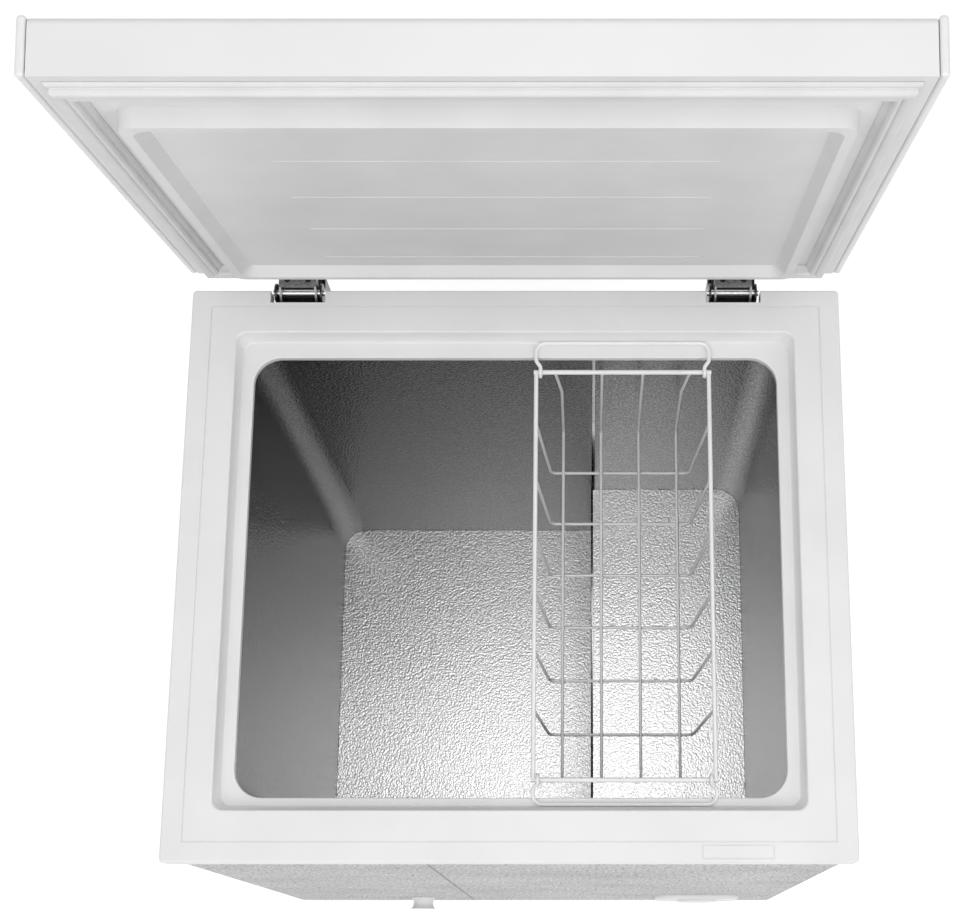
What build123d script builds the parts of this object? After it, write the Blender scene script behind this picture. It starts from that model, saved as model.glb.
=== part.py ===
from build123d import *
import os
from math import cos, pi, radians, sin

# Chest freezer in millimetres: X to the right, Y to the rear, Z up.
# The origin is on the floor, under the middle of the cabinet.
os.makedirs("parts", exist_ok=True)

# Cabinet
WIDTH = 625.0
DEPTH = 545.0
RIM_HEIGHT = 800.0
FOOT_HEIGHT = 10.0
FOOT_RADIUS = 20.0
FOOT_INSET = 55.0
STEM_RADIUS = 4.0
SHEET = 0.8
BASE_SHEET = 1.2
PANEL_BEND = 5.0
PANEL_RETURN = 14.0
SEAM = 0.4
FIT = 0.2

# Top frame
FRAME_OVERHANG = 4.0
FRAME_DROP = 20.0
FRAME_WALL = 3.0
FRAME_CORNER = 4.0
FRAME_ROUND = 2.0
STEP_SIDE = 44.5
STEP_FRONT = 46.5
STEP_REAR = 42.9
STEP_DROP = 16.0
STEP_SLOPE = 5.0
STEP_CORNER = 10.0
MOUTH_SIDE = 60.5
MOUTH_FRONT = 59.1
MOUTH_REAR = 63.6
MOUTH_CORNER = 26.0
LIP_WALL = 1.8
LIP_DROP = 3.0
LIP_ROUND = 1.2
GROOVE_SIDE = 19.0
GROOVE_FRONT = 18.0
GROOVE_REAR = 16.0
GROOVE_WIDTH = 1.4
GROOVE_DEPTH = 0.9
TAB_INSET = 108.0
TAB_WIDTH = 65.0
TAB_REACH = 13.2
TAB_GAP = 1.6

# Liner, foam and compressor bay
DEEP_HEIGHT = 95.0
SHALLOW_HEIGHT = 300.0
STEP_LENGTH = 180.0
COIL_SPACE = 9.0
STEP_FOAM = 45.0
BAY_FRONT_FOAM = 30.0

# Lid, drawn shut and then swung open about the hinge pins
LID_THICK = 42.2
LID_FRONT_OVERHANG = 7.0
LID_REAR_SETBACK = 12.5
LID_SHEET = 1.2
LID_ROUND = 6.0
CAP_THICK = 6.7
CAP_GAP = 0.8
LID_SIDE_OVERHANG = 1.3
CAP_PROUD = 0.8
CAP_ROUND = 2.5
SEAL_GAP = 9.3
SEAL_CLEAR = 0.3
LINER_PLATE = 2.0
RIDGE_HEIGHT = 15.0
RIDGE_SIDE_GAP = 4.0
RIDGE_FRONT_GAP = 6.5
RIDGE_REAR_GAP = 4.1
RIDGE_TOP = 8.0
RIDGE_TAPER = 8.0
RIDGE_CORNER = 14.0
PAN_DEPTH = 9.7
PAN_TAPER = 40.0
RIB_COUNT = 4
RIB_REAR_INSET = 49.0
RIB_FRONT_INSET = 110.0
RIB_LENGTH = 342.0
RIB_WIDTH = 2.6
RIB_HEIGHT = 0.4
GASKET_WIDTH = 21.0
GASKET_SIDE_INSET = 14.5
GASKET_FRONT_INSET = 10.0
GASKET_REAR_INSET = 11.5
GASKET_BASE = 4.0
GASKET_BEAD_INSET = 3.5
GASKET_CORNER = 8.0
GASKET_ROUND = 1.8

# Hinges
OPEN_ANGLE = 81.74
HINGE_INSET = 102.0
PIVOT_DROP = 7.0
PIVOT_SETBACK = 0.0
PIN_RADIUS = 3.0
PIN_CLEAR = 0.05
NOTCH_WIDTH = 53.0
NOTCH_DEPTH = 12.5
TONGUE_DROP = 20.2
HINGE_PLATE = 2.0
BASE_WIDTH = 46.0
BASE_DEPTH = 26.0
BASE_DROP = 160.0
BASE_REAR_TOP = 20.0
BASE_EYE = 9.0
EAR_WIDTH = 13.0
EAR_TOP = 60.0
EAR_BOTTOM = 150.0
LEVER_WIDTH = 36.0
LEVER_REACH = 46.0
LEVER_TAIL = 4.0
LEVER_CHEEK_TOP = 16.0
LEVER_CHEEK_REACH = 5.8
LEVER_HOLE_X = 10.0
LEVER_HOLE_Z = 3.5
LEVER_HOLE_RADIUS = 3.0
CAM_SMALL = 7.5
CAM_LARGE = 12.0
CAM_GAP = 0.9
CAM_STEPS = 6
PLUNGER_PLATE = 4.0
PLUNGER_SIDE_CLEAR = 1.0
STEM_LENGTH = 100.0
STEM_ROD_RADIUS = 4.75
GUIDE_DROP = 110.0
SPRING_RADIUS = 6.3
SPRING_WIRE = 0.9
SPRING_TURNS = 10
SCREW_RADIUS = 2.5
SCREW_HEAD_RADIUS = 4.5
SCREW_HEAD = 2.6
SCREW_LENGTH = 14.0
SCREW_CLEAR = 0.3
EAR_SCREW_DROPS = (72.0, 138.0)
LID_SCREW_RISES = (24.0, 38.0)

# Basket of coated wire
BASKET_INSET = 148.5
BASKET_WIDTH = 167.0
BASKET_FRONT = 75.7
BASKET_REAR = 76.6
BASKET_DROP = 21.0
BASKET_FLOOR_DROP = 197.0
BASKET_SIDE_TAPER = 11.0
BASKET_FRONT_TAPER = 20.0
BASKET_REAR_TAPER = 6.0
FRAME_WIRE = 2.25
SIDE_WIRE = 2.1
THIN_WIRE = 1.5
HANDLE_WIRE = 1.8
WELD_GAP = 0.05
END_GAP = 0.3
CROSS_COUNT = 6
CROSS_PITCH = 55.3
CROSS_SHIFT = 6.85
LONG_COUNT = 4
LONG_PITCH = 39.7
WIRE_BEND = 9.0
FLARE = 5.5
FLARE_DROP = 50.0
FLARE_BEND = 60.0
EYE_CLEAR = 0.06
HANDLE_GAP = 0.3
HANDLE_REST_FRONT = 53.0
HANDLE_REST_REAR = 49.3
HANDLE_KNEE = 4.0
HANDLE_RISE = 5.0
HANDLE_CORNER = 9.0
HANDLE_KNEE_BEND = 3.0
EYE_SWEEP = 250.0

# Drain
DRAIN_SIDE_INSET = 167.5
DRAIN_INSET = 30.0
DRAIN_HEIGHT = 76.0
DRAIN_RADIUS = 10.0
DRAIN_BORE = 7.5
DRAIN_FLANGE = 14.0
DRAIN_BEND = 13.0
PLUG_FLANGE = 15.5
PLUG_WAIST = 12.3
PLUG_LENGTH = 14.0
PLUG_STEM = 7.45
PLUG_STEM_LENGTH = 16.0
CAP_RADIUS = 15.0
CAP_HEIGHT = 3.0
CAP_STEM_LENGTH = 5.0

# Thermostat
DIAL_INSET = 102.5
DIAL_HEIGHT = 105.0
BEZEL_WIDTH = 104.0
BEZEL_TALL = 66.0
BEZEL_PROUD = 4.6
BEZEL_CORNER = 20.0
BEZEL_ROUND = 3.4
KNOB_RADIUS = 24.5
KNOB_TALL = 4.8
KNOB_ROUND = 2.0
KNOB_SEAT = 3.0
KNOB_GAP = 1.0
KNOB_MARK_WIDTH = 3.0
KNOB_MARK_DEPTH = 1.0
SHAFT_RADIUS = 3.0
SHAFT_CLEAR = 0.05
SHAFT_GRIP = 3.2
THERMO_WIDTH = 48.0
THERMO_TALL = 38.0
THERMO_DEEP = 24.0
THERMO_ROOM = 4.0

# Compressor and refrigerant lines
COMP_REAR_GAP = 42.7
COMP_WIDTH = 130.0
COMP_LONG = 170.0
COMP_CORNER = 58.0
COMP_LOWER = 80.0
COMP_UPPER = 70.0
COMP_LIP = 3.0
COMP_LIP_TALL = 6.0
COMP_ROUND = 24.0
COMP_DOME = 34.0
FOOT_PLATE = 2.5
FOOT_PLATE_WIDTH = 166.0
FOOT_PLATE_LONG = 130.0
FOOT_PLATE_CORNER = 14.0
STUD_SPACING_X = 138.0
STUD_SPACING_Y = 102.0
STUD_RADIUS = 4.0
STUD_TOP = 12.0
NUT_FLATS = 13.0
NUT_TALL = 6.5
GROMMET_RADIUS = 12.0
GROMMET_TALL = 14.0
RELAY_WIDTH = 46.0
RELAY_DEEP = 34.0
RELAY_TALL = 58.0
RELAY_RISE = 12.0
RELAY_ROUND = 4.0
TUBE_RADIUS = 4.0
TUBE_BEND = 16.0
COIL_PASSES = 6
COIL_LOW = 40.0
COIL_PITCH = 96.0
COIL_END_INSET = 14.0
COIL_CLEAR = 0.3
CONDENSER_RADIUS = 2.5
CONDENSER_PASSES = 10
CONDENSER_PITCH = 50.0
CONDENSER_LOW = 60.0
CONDENSER_SIDE_INSET = 28.5
CONDENSER_PAST_STEP = 16.0
CONDENSER_SPACE = 6.0
SUCTION_INSET = 17.0
DRIER_GAP = 3.0
DRIER_RADIUS = 9.0
DRIER_TALL = 70.0
CAPILLARY_RADIUS = 1.25
CAPILLARY_BEND = 6.0
CAPILLARY_RISE = 12.0
CAPILLARY_DROP = 22.2
LINE_HOLE_CLEAR = 0.4

# Rear cover of the compressor bay, side vents and cord gland
COVER_LAP = 12.0
COVER_MARGIN = 14.0
VENT_ROWS = 9
VENT_COLUMNS = 3
VENT_PITCH_Z = 20.0
VENT_PITCH_X = 46.0
VENT_LENGTH = 36.0
VENT_WIDTH = 6.0
SIDE_VENT_INSET = 117.7
COVER_SCREW_INSET = 6.0
COVER_SCREW_RADIUS = 2.0
COVER_SCREW_HEAD_RADIUS = 4.0
COVER_SCREW_LENGTH = 9.0
GLAND_RADIUS = 9.0
GLAND_FLANGE = 13.0
GLAND_FLANGE_TALL = 4.0
GLAND_BORE = 4.2
GLAND_HEIGHT = 36.0

# Sizes and spans worked out from the values above
rim = RIM_HEIGHT
frame_low = rim - FRAME_DROP
ledge = rim - STEP_DROP
shell_x = WIDTH / 2 - FRAME_OVERHANG
shell_y = DEPTH / 2 - FRAME_OVERHANG
deep = DEEP_HEIGHT
shallow = SHALLOW_HEIGHT
panel_low = FOOT_HEIGHT
panel_top = rim - FRAME_WALL - 2 * FIT
base_top = FOOT_HEIGHT + BASE_SHEET


def grow(span, amount):
    """A span made longer by the same amount at both ends."""
    return (span[0] - amount, span[1] + amount)


frame_x = (-WIDTH / 2, WIDTH / 2)
frame_y = (-DEPTH / 2, DEPTH / 2)
step_x = grow(frame_x, -STEP_SIDE)
step_y = (frame_y[0] + STEP_FRONT, frame_y[1] - STEP_REAR)
mouth_x = grow(frame_x, -MOUTH_SIDE)
mouth_y = (frame_y[0] + MOUTH_FRONT, frame_y[1] - MOUTH_REAR)
liner_x = grow(mouth_x, LIP_WALL + FIT)
liner_y = grow(mouth_y, LIP_WALL + FIT)
liner_corner = MOUTH_CORNER + LIP_WALL + FIT
liner_top = frame_low - FIT
riser_x = liner_x[1] - STEP_LENGTH
basket_mid = mouth_x[1] - BASKET_INSET
tab_x = frame_x[1] - TAB_INSET
hinge_x = frame_x[1] - HINGE_INSET
dial_x = shell_x - DIAL_INSET
drain_x = DRAIN_SIDE_INSET - shell_x
inside_x = (-shell_x + SHEET, shell_x - SHEET)
inside_y = (-shell_y + SHEET, shell_y - SHEET)
bay_x = (riser_x + SHEET + STEP_FOAM, inside_x[1])
bay_y = (inside_y[0] + BAY_FRONT_FOAM, inside_y[1])
bay_top = shallow - SHEET - STEP_FOAM
comp_x = (bay_x[0] + bay_x[1]) / 2
comp_y = inside_y[1] - COMP_REAR_GAP - COMP_LONG / 2
side_vent_y = inside_y[1] - SIDE_VENT_INSET
pivot_y = frame_y[1] - PIVOT_SETBACK
pivot_z = rim - PIVOT_DROP
hinge_axis = Axis((0, pivot_y, pivot_z), (1, 0, 0))
hinge_sides = (("left", -hinge_x), ("right", hinge_x))
notch_y = (frame_y[1] - NOTCH_DEPTH, frame_y[1] + NOTCH_DEPTH)
tongue_z = (rim - TONGUE_DROP - HINGE_PLATE, rim - TONGUE_DROP)


def notch_x(x, extra=0.0):
    """The span of a hinge notch, made wider on both sides."""
    return (x - NOTCH_WIDTH / 2 - extra, x + NOTCH_WIDTH / 2 + extra)


def block(x, y, z, radius=0.0, mode=Mode.ADD):
    """An upright block over the spans x, y and z, with its upright edges rounded."""
    with BuildSketch(Plane.XY.offset(z[0])) as outline:
        with Locations(((x[0] + x[1]) / 2, (y[0] + y[1]) / 2)):
            if radius > 0:
                RectangleRounded(x[1] - x[0], y[1] - y[0], radius)
            else:
                Rectangle(x[1] - x[0], y[1] - y[0])
    extrude(outline.sketch, amount=z[1] - z[0], mode=mode)


def rod(start, way, length, radius, mode=Mode.ADD):
    """A round bar, or a round hole, from a point along a direction."""
    with BuildSketch(Plane(origin=start, z_dir=way)) as outline:
        Circle(radius)
    extrude(outline.sketch, amount=length, mode=mode)


def bent_wire(points, bends, radius, mode=Mode.ADD):
    """A round wire or tube along straight runs joined by tangent arcs."""
    with BuildLine() as route:
        FilletPolyline(*points, radius=bends)
    start = Vector(*points[0])
    way = Vector(*points[1]) - start
    with BuildSketch(Plane(origin=start, z_dir=way)) as section:
        Circle(radius)
    sweep(section.sketch, path=route.wires()[0], mode=mode)


def save(piece, name):
    """Name a finished piece and write it to its own file."""
    piece.label = name
    export_step(piece, "parts/" + name + ".step")


def save_opened(piece, name):
    """Swing a piece that was drawn with the lid shut to the open lid, and write it."""
    save(piece.rotate(hinge_axis, -OPEN_ANGLE), name)


# Top frame: flat rim, sloped step, ledge round the mouth and a lip over the liner
with BuildPart() as top_frame:
    block(frame_x, frame_y, (frame_low, rim), FRAME_CORNER)
    with BuildSketch(Plane.XY.offset(rim)):
        with Locations((0, (step_y[0] + step_y[1]) / 2)):
            RectangleRounded(step_x[1] - step_x[0], step_y[1] - step_y[0], STEP_CORNER)
    with BuildSketch(Plane.XY.offset(ledge)):
        foot_x = grow(step_x, -STEP_SLOPE)
        foot_y = grow(step_y, -STEP_SLOPE)
        with Locations((0, (foot_y[0] + foot_y[1]) / 2)):
            RectangleRounded(foot_x[1] - foot_x[0], foot_y[1] - foot_y[0], STEP_CORNER)
    loft(mode=Mode.SUBTRACT)
    fillet(top_frame.edges().group_by(Axis.Z)[-1], FRAME_ROUND)
    block(
        grow(mouth_x, LIP_WALL),
        grow(mouth_y, LIP_WALL),
        (frame_low - LIP_DROP, frame_low),
        MOUTH_CORNER + LIP_WALL,
    )
    block(mouth_x, mouth_y, (frame_low - LIP_DROP, ledge), MOUTH_CORNER, Mode.SUBTRACT)
    mouth_edges = top_frame.edges().filter_by(lambda e: abs(e.center().Z - ledge) < FIT)
    fillet(mouth_edges.filter_by(lambda e: e.bounding_box().size.Z < FIT), LIP_ROUND)
    with BuildSketch(Plane.XY.offset(frame_low)):
        wall_x = grow(frame_x, -FRAME_WALL)
        wall_y = grow(frame_y, -FRAME_WALL)
        Rectangle(wall_x[1] - wall_x[0], wall_y[1] - wall_y[0])
        with Locations((0, (step_y[0] + step_y[1]) / 2)):
            kept = (step_x[1] - step_x[0] + 2 * FRAME_WALL, step_y[1] - step_y[0] + 2 * FRAME_WALL)
            RectangleRounded(*kept, STEP_CORNER, mode=Mode.SUBTRACT)
    extrude(amount=FRAME_DROP - FRAME_WALL, mode=Mode.SUBTRACT)
    with BuildSketch(Plane.XY.offset(rim)):
        line_x = grow(frame_x, -GROOVE_SIDE)
        line_y = (frame_y[0] + GROOVE_FRONT, frame_y[1] - GROOVE_REAR)
        with Locations((0, (line_y[0] + line_y[1]) / 2)):
            Rectangle(line_x[1] - line_x[0], line_y[1] - line_y[0])
        with Locations((0, (line_y[0] + line_y[1]) / 2)):
            Rectangle(
                line_x[1] - line_x[0] - 2 * GROOVE_WIDTH,
                line_y[1] - line_y[0] - 2 * GROOVE_WIDTH,
                mode=Mode.SUBTRACT,
            )
        with Locations((tab_x, line_y[0] - TAB_GAP - TAB_REACH / 2)):
            Rectangle(TAB_WIDTH, TAB_REACH)
            Rectangle(TAB_WIDTH - 2 * GROOVE_WIDTH, TAB_REACH - 2 * GROOVE_WIDTH, mode=Mode.SUBTRACT)
    extrude(amount=-GROOVE_DEPTH, mode=Mode.SUBTRACT)
    for _, x in hinge_sides:
        wall_y = (notch_y[0] - FRAME_WALL, frame_y[1] - FRAME_WALL)
        block(notch_x(x, FRAME_WALL), wall_y, (frame_low, rim - FRAME_WALL))
        block(notch_x(x), notch_y, (frame_low, rim), mode=Mode.SUBTRACT)
save(top_frame.part, "top_frame")

# Front panel: a sheet folded back at both sides, with holes for the drain and the dial
with BuildPart() as front_panel:
    with BuildSketch(Plane.XY.offset(panel_low)) as outer:
        with Locations((0, -shell_y + PANEL_RETURN / 2)):
            Rectangle(2 * shell_x, PANEL_RETURN)
        fillet(outer.vertices().group_by(Axis.Y)[0], PANEL_BEND)
    extrude(amount=panel_top - panel_low)
    with BuildSketch(Plane.XY.offset(panel_low)) as inner:
        with Locations((0, -shell_y + SHEET + PANEL_RETURN / 2)):
            Rectangle(2 * (shell_x - SHEET), PANEL_RETURN)
        fillet(inner.vertices().group_by(Axis.Y)[0], PANEL_BEND - SHEET)
    extrude(amount=panel_top - panel_low, mode=Mode.SUBTRACT)
    front = (0, -shell_y - SHEET, 0)
    rod((drain_x, front[1], DRAIN_HEIGHT), (0, 1, 0), 3 * SHEET, DRAIN_RADIUS + FIT, Mode.SUBTRACT)
    rod((dial_x, front[1], DIAL_HEIGHT), (0, 1, 0), 3 * SHEET, SHAFT_RADIUS + FIT, Mode.SUBTRACT)
save(front_panel.part, "front_panel")

# Side panels, the right one with vents beside the compressor
side_y = (-shell_y + PANEL_RETURN + SEAM, inside_y[1])
with BuildPart() as left_panel:
    block((-shell_x, -shell_x + SHEET), side_y, (panel_low, panel_top))
save(left_panel.part, "left_panel")

with BuildPart() as right_panel:
    block((shell_x - SHEET, shell_x), side_y, (panel_low, panel_top))
    with BuildSketch(Plane.YZ.offset(shell_x - SHEET)):
        with Locations((side_vent_y, (base_top + bay_top) / 2)):
            with GridLocations(VENT_PITCH_X, VENT_PITCH_Z, VENT_COLUMNS, VENT_ROWS):
                SlotOverall(VENT_LENGTH, VENT_WIDTH)
    extrude(amount=SHEET, mode=Mode.SUBTRACT)
save(right_panel.part, "right_panel")

# Back panel with hinge pockets, screw holes and the compressor bay's opening
cover_x = (bay_x[0] + COVER_MARGIN, bay_x[1] - COVER_MARGIN)
cover_z = (base_top + COVER_MARGIN, bay_top - COVER_MARGIN)
ear_screw_x = BASE_WIDTH / 2 + EAR_WIDTH / 2
screw_z = grow(cover_z, COVER_SCREW_INSET)
cover_screw_places = [
    (x, z)
    for x in grow(cover_x, COVER_SCREW_INSET)
    for z in (screw_z[0], (screw_z[0] + screw_z[1]) / 2, screw_z[1])
]
with BuildPart() as back_panel:
    block((-shell_x, shell_x), (inside_y[1], shell_y), (panel_low, panel_top))
    block(cover_x, (inside_y[1], shell_y), cover_z, mode=Mode.SUBTRACT)
    for x, z in cover_screw_places:
        rod((x, inside_y[1], z), (0, 1, 0), SHEET, COVER_SCREW_RADIUS + SCREW_CLEAR, Mode.SUBTRACT)
    for _, x in hinge_sides:
        pocket_x = notch_x(x, FRAME_WALL + FIT)
        block(pocket_x, (inside_y[1], shell_y), (tongue_z[0] - FIT, rim), mode=Mode.SUBTRACT)
        for drop in EAR_SCREW_DROPS:
            for side in (-1, 1):
                start = (x + side * ear_screw_x, inside_y[1], rim - drop)
                rod(start, (0, 1, 0), SHEET, SCREW_RADIUS + SCREW_CLEAR, Mode.SUBTRACT)
save(back_panel.part, "back_panel")

# Base plate and the four feet under it
foot_places = [
    (sx * (WIDTH / 2 - FOOT_INSET), sy * (DEPTH / 2 - FOOT_INSET)) for sx in (-1, 1) for sy in (-1, 1)
]
stud_places = [
    (comp_x + sx * STUD_SPACING_X / 2, comp_y + sy * STUD_SPACING_Y / 2)
    for sx in (-1, 1)
    for sy in (-1, 1)
]
with BuildPart() as base_plate:
    block(grow(inside_x, -FIT), grow(inside_y, -FIT), (FOOT_HEIGHT, base_top), PANEL_BEND)
    for x, y in foot_places:
        rod((x, y, FOOT_HEIGHT), (0, 0, 1), BASE_SHEET, STEM_RADIUS + FIT, Mode.SUBTRACT)
    for x, y in stud_places:
        rod((x, y, FOOT_HEIGHT), (0, 0, 1), BASE_SHEET, STUD_RADIUS + FIT, Mode.SUBTRACT)
save(base_plate.part, "base_plate")

with BuildPart() as feet:
    for x, y in foot_places:
        with BuildSketch(Plane.XY) as sole:
            with Locations((x, y)):
                Circle(FOOT_RADIUS)
        extrude(sole.sketch, amount=FOOT_HEIGHT, taper=8)
        rod((x, y, FOOT_HEIGHT), (0, 0, 1), BASE_SHEET, STEM_RADIUS)
save(feet.part, "feet")

# Liner: two bent sheets that meet over the riser, the deep floor and the raised step
with BuildPart() as liner_wrap_left:
    low = deep - SHEET
    block(grow(liner_x, SHEET), grow(liner_y, SHEET), (low, liner_top), liner_corner + SHEET)
    block(liner_x, liner_y, (low, liner_top), liner_corner, Mode.SUBTRACT)
    split(bisect_by=Plane.YZ.offset(riser_x - SEAM / 2), keep=Keep.BOTTOM)
save(liner_wrap_left.part, "liner_wrap_left")

with BuildPart() as liner_wrap_right:
    low = shallow - SHEET
    block(grow(liner_x, SHEET), grow(liner_y, SHEET), (low, liner_top), liner_corner + SHEET)
    block(liner_x, liner_y, (low, liner_top), liner_corner, Mode.SUBTRACT)
    split(bisect_by=Plane.YZ.offset(riser_x + SEAM / 2), keep=Keep.TOP)
save(liner_wrap_right.part, "liner_wrap_right")

drain_y = liner_y[0] + DRAIN_INSET
with BuildPart() as liner_floor:
    block(grow(liner_x, -FIT), grow(liner_y, -FIT), (deep - SHEET, deep), liner_corner - FIT)
    split(bisect_by=Plane.YZ.offset(riser_x - FIT), keep=Keep.BOTTOM)
    rod((drain_x, drain_y, deep - SHEET), (0, 0, 1), SHEET, DRAIN_BORE, Mode.SUBTRACT)
save(liner_floor.part, "liner_floor")

with BuildPart() as liner_step:
    block(grow(liner_x, -FIT), grow(liner_y, -FIT), (shallow - SHEET, shallow), liner_corner - FIT)
    split(bisect_by=Plane.YZ.offset(riser_x), keep=Keep.TOP)
    block((riser_x, riser_x + SHEET), grow(liner_y, -FIT), (deep - SHEET, shallow))
save(liner_step.part, "liner_step")

# Routes of the refrigerant lines
coil_off = SHEET + COIL_CLEAR + TUBE_RADIUS
coil_x = (liner_x[0] - coil_off, riser_x - COIL_END_INSET)
coil_y = grow(liner_y, coil_off)
coil_levels = [deep + COIL_LOW + i * COIL_PITCH for i in range(COIL_PASSES)]
coil_route = []
for i, level in enumerate(coil_levels):
    trip = [
        (coil_x[1], coil_y[1], level),
        (coil_x[0], coil_y[1], level),
        (coil_x[0], coil_y[0], level),
        (coil_x[1], coil_y[0], level),
    ]
    coil_route += trip if i % 2 == 0 else trip[::-1]
condenser_y = inside_y[1] - COIL_CLEAR - CONDENSER_RADIUS
condenser_levels = [CONDENSER_LOW + i * CONDENSER_PITCH for i in range(CONDENSER_PASSES)]
condenser_ends = (CONDENSER_SIDE_INSET - shell_x, riser_x + CONDENSER_PAST_STEP)
condenser_route = []
for i, level in enumerate(condenser_levels):
    run = [(condenser_ends[1], condenser_y, level), (condenser_ends[0], condenser_y, level)]
    condenser_route += run if i % 2 == 0 else run[::-1]
suction_turn_x = bay_x[0] + SHEET + SUCTION_INSET
drier_x = suction_turn_x + TUBE_RADIUS + DRIER_GAP + DRIER_RADIUS
drier_y = coil_y[1]
capillary_z = bay_top - CAPILLARY_DROP
drier_top = capillary_z - CAPILLARY_RISE
condenser_out_z = condenser_levels[-1]

# Foam between the outer panels and the liner, with room for the lines and the bay
with BuildPart() as cabinet_foam:
    block(grow(inside_x, -FIT), grow(inside_y, -FIT), (base_top + FIT, frame_low - FIT), PANEL_BEND)
    with BuildSketch(Plane.XY.offset(frame_low - FIT)):
        foam_size = (inside_x[1] - inside_x[0] - 2 * FIT, inside_y[1] - inside_y[0] - 2 * FIT)
        RectangleRounded(*foam_size, PANEL_BEND)
        with Locations((0, (step_y[0] + step_y[1]) / 2)):
            hole_x = step_x[1] - step_x[0] + 2 * FRAME_WALL + 2 * FIT
            hole_y = step_y[1] - step_y[0] + 2 * FRAME_WALL + 2 * FIT
            RectangleRounded(hole_x, hole_y, STEP_CORNER, mode=Mode.SUBTRACT)
    extrude(amount=FRAME_DROP - FRAME_WALL)
    room = SHEET + COIL_SPACE
    block(
        (liner_x[0] - room, riser_x + SHEET + FIT),
        grow(liner_y, room),
        (deep - SHEET - FIT, frame_low),
        mode=Mode.SUBTRACT,
    )
    block(
        (riser_x, liner_x[1] + SHEET + FIT),
        grow(liner_y, SHEET + FIT),
        (shallow - SHEET - FIT, frame_low),
        mode=Mode.SUBTRACT,
    )
    block(
        (bay_x[0] - FIT, inside_x[1]),
        (bay_y[0] - FIT, inside_y[1]),
        (base_top, bay_top + FIT),
        mode=Mode.SUBTRACT,
    )
    block(
        grow(condenser_ends, CONDENSER_SPACE),
        (inside_y[1] - CONDENSER_SPACE, inside_y[1]),
        (condenser_levels[0] - CONDENSER_SPACE * 2, condenser_levels[-1] + CONDENSER_SPACE * 2),
        mode=Mode.SUBTRACT,
    )
    for level, y, radius in (
        (coil_levels[0], coil_y[1], TUBE_RADIUS),
        (capillary_z, coil_y[1], CAPILLARY_RADIUS),
        (condenser_levels[0], condenser_y, CONDENSER_RADIUS),
    ):
        rod((riser_x, y, level), (1, 0, 0), bay_x[0] - riser_x, radius + LINE_HOLE_CLEAR, Mode.SUBTRACT)
    for _, x in hinge_sides:
        pocket_y = (notch_y[0] - FRAME_WALL - FIT, inside_y[1])
        pocket_x = notch_x(x, FRAME_WALL + FIT)
        block(pocket_x, pocket_y, (tongue_z[0] - FIT, rim), mode=Mode.SUBTRACT)
        for drop in EAR_SCREW_DROPS:
            for side in (-1, 1):
                start = (x + side * ear_screw_x, inside_y[1], rim - drop)
                rod(start, (0, -1, 0), SCREW_LENGTH, SCREW_RADIUS + SCREW_CLEAR, Mode.SUBTRACT)
    rod((drain_x, drain_y, deep), (0, 0, -1), deep - DRAIN_HEIGHT, DRAIN_RADIUS + FIT, Mode.SUBTRACT)
    block(
        (drain_x - DRAIN_FLANGE - FIT, drain_x + DRAIN_FLANGE + FIT),
        (inside_y[0], drain_y + DRAIN_FLANGE + FIT),
        (DRAIN_HEIGHT - DRAIN_FLANGE - FIT, deep),
        mode=Mode.SUBTRACT,
    )
    block(
        (dial_x - THERMO_WIDTH / 2 - THERMO_ROOM, dial_x + THERMO_WIDTH / 2 + THERMO_ROOM),
        (inside_y[0], bay_y[0]),
        (DIAL_HEIGHT - THERMO_TALL / 2 - THERMO_ROOM, DIAL_HEIGHT + THERMO_TALL / 2 + THERMO_ROOM),
        mode=Mode.SUBTRACT,
    )
save(cabinet_foam.part, "cabinet_foam")

# Evaporator tube round the liner, and condenser tube behind the back panel
with BuildPart() as evaporator_coil:
    bent_wire(coil_route, TUBE_BEND, TUBE_RADIUS)
save(evaporator_coil.part, "evaporator_coil")

with BuildPart() as condenser_coil:
    bent_wire(condenser_route, TUBE_BEND, CONDENSER_RADIUS)
save(condenser_coil.part, "condenser_coil")

# Steel shield that lines the compressor bay, with holes for the lines
with BuildPart() as bay_shield:
    block(bay_x, bay_y, (base_top, bay_top))
    block(
        (bay_x[0] + SHEET, bay_x[1]),
        (bay_y[0] + SHEET, bay_y[1]),
        (base_top, bay_top - SHEET),
        mode=Mode.SUBTRACT,
    )
    for level, y, radius in (
        (coil_levels[0], coil_y[1], TUBE_RADIUS),
        (capillary_z, coil_y[1], CAPILLARY_RADIUS),
        (condenser_levels[0], condenser_y, CONDENSER_RADIUS),
    ):
        rod((bay_x[0], y, level), (1, 0, 0), SHEET, radius + LINE_HOLE_CLEAR, Mode.SUBTRACT)
save(bay_shield.part, "bay_shield")

# Compressor: sealed shells on a plate that stands on rubber grommets
plate_low = base_top + GROMMET_TALL
shell_low = plate_low + FOOT_PLATE
seam_z = shell_low + COMP_LOWER
comp_top = seam_z + COMP_UPPER
comp_span_x = (comp_x - COMP_WIDTH / 2, comp_x + COMP_WIDTH / 2)
comp_span_y = (comp_y - COMP_LONG / 2, comp_y + COMP_LONG / 2)
with BuildPart() as compressor_lower_shell:
    block(comp_span_x, comp_span_y, (shell_low, seam_z), COMP_CORNER)
    fillet(compressor_lower_shell.faces().sort_by(Axis.Z)[0].edges(), COMP_ROUND)
save(compressor_lower_shell.part, "compressor_lower_shell")

with BuildPart() as compressor_upper_shell:
    lip_x = grow(comp_span_x, COMP_LIP)
    lip_y = grow(comp_span_y, COMP_LIP)
    block(comp_span_x, comp_span_y, (seam_z, comp_top), COMP_CORNER)
    fillet(compressor_upper_shell.faces().sort_by(Axis.Z)[-1].edges(), COMP_DOME)
    block(lip_x, lip_y, (seam_z, seam_z + COMP_LIP_TALL), COMP_CORNER + COMP_LIP)
save(compressor_upper_shell.part, "compressor_upper_shell")

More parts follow.
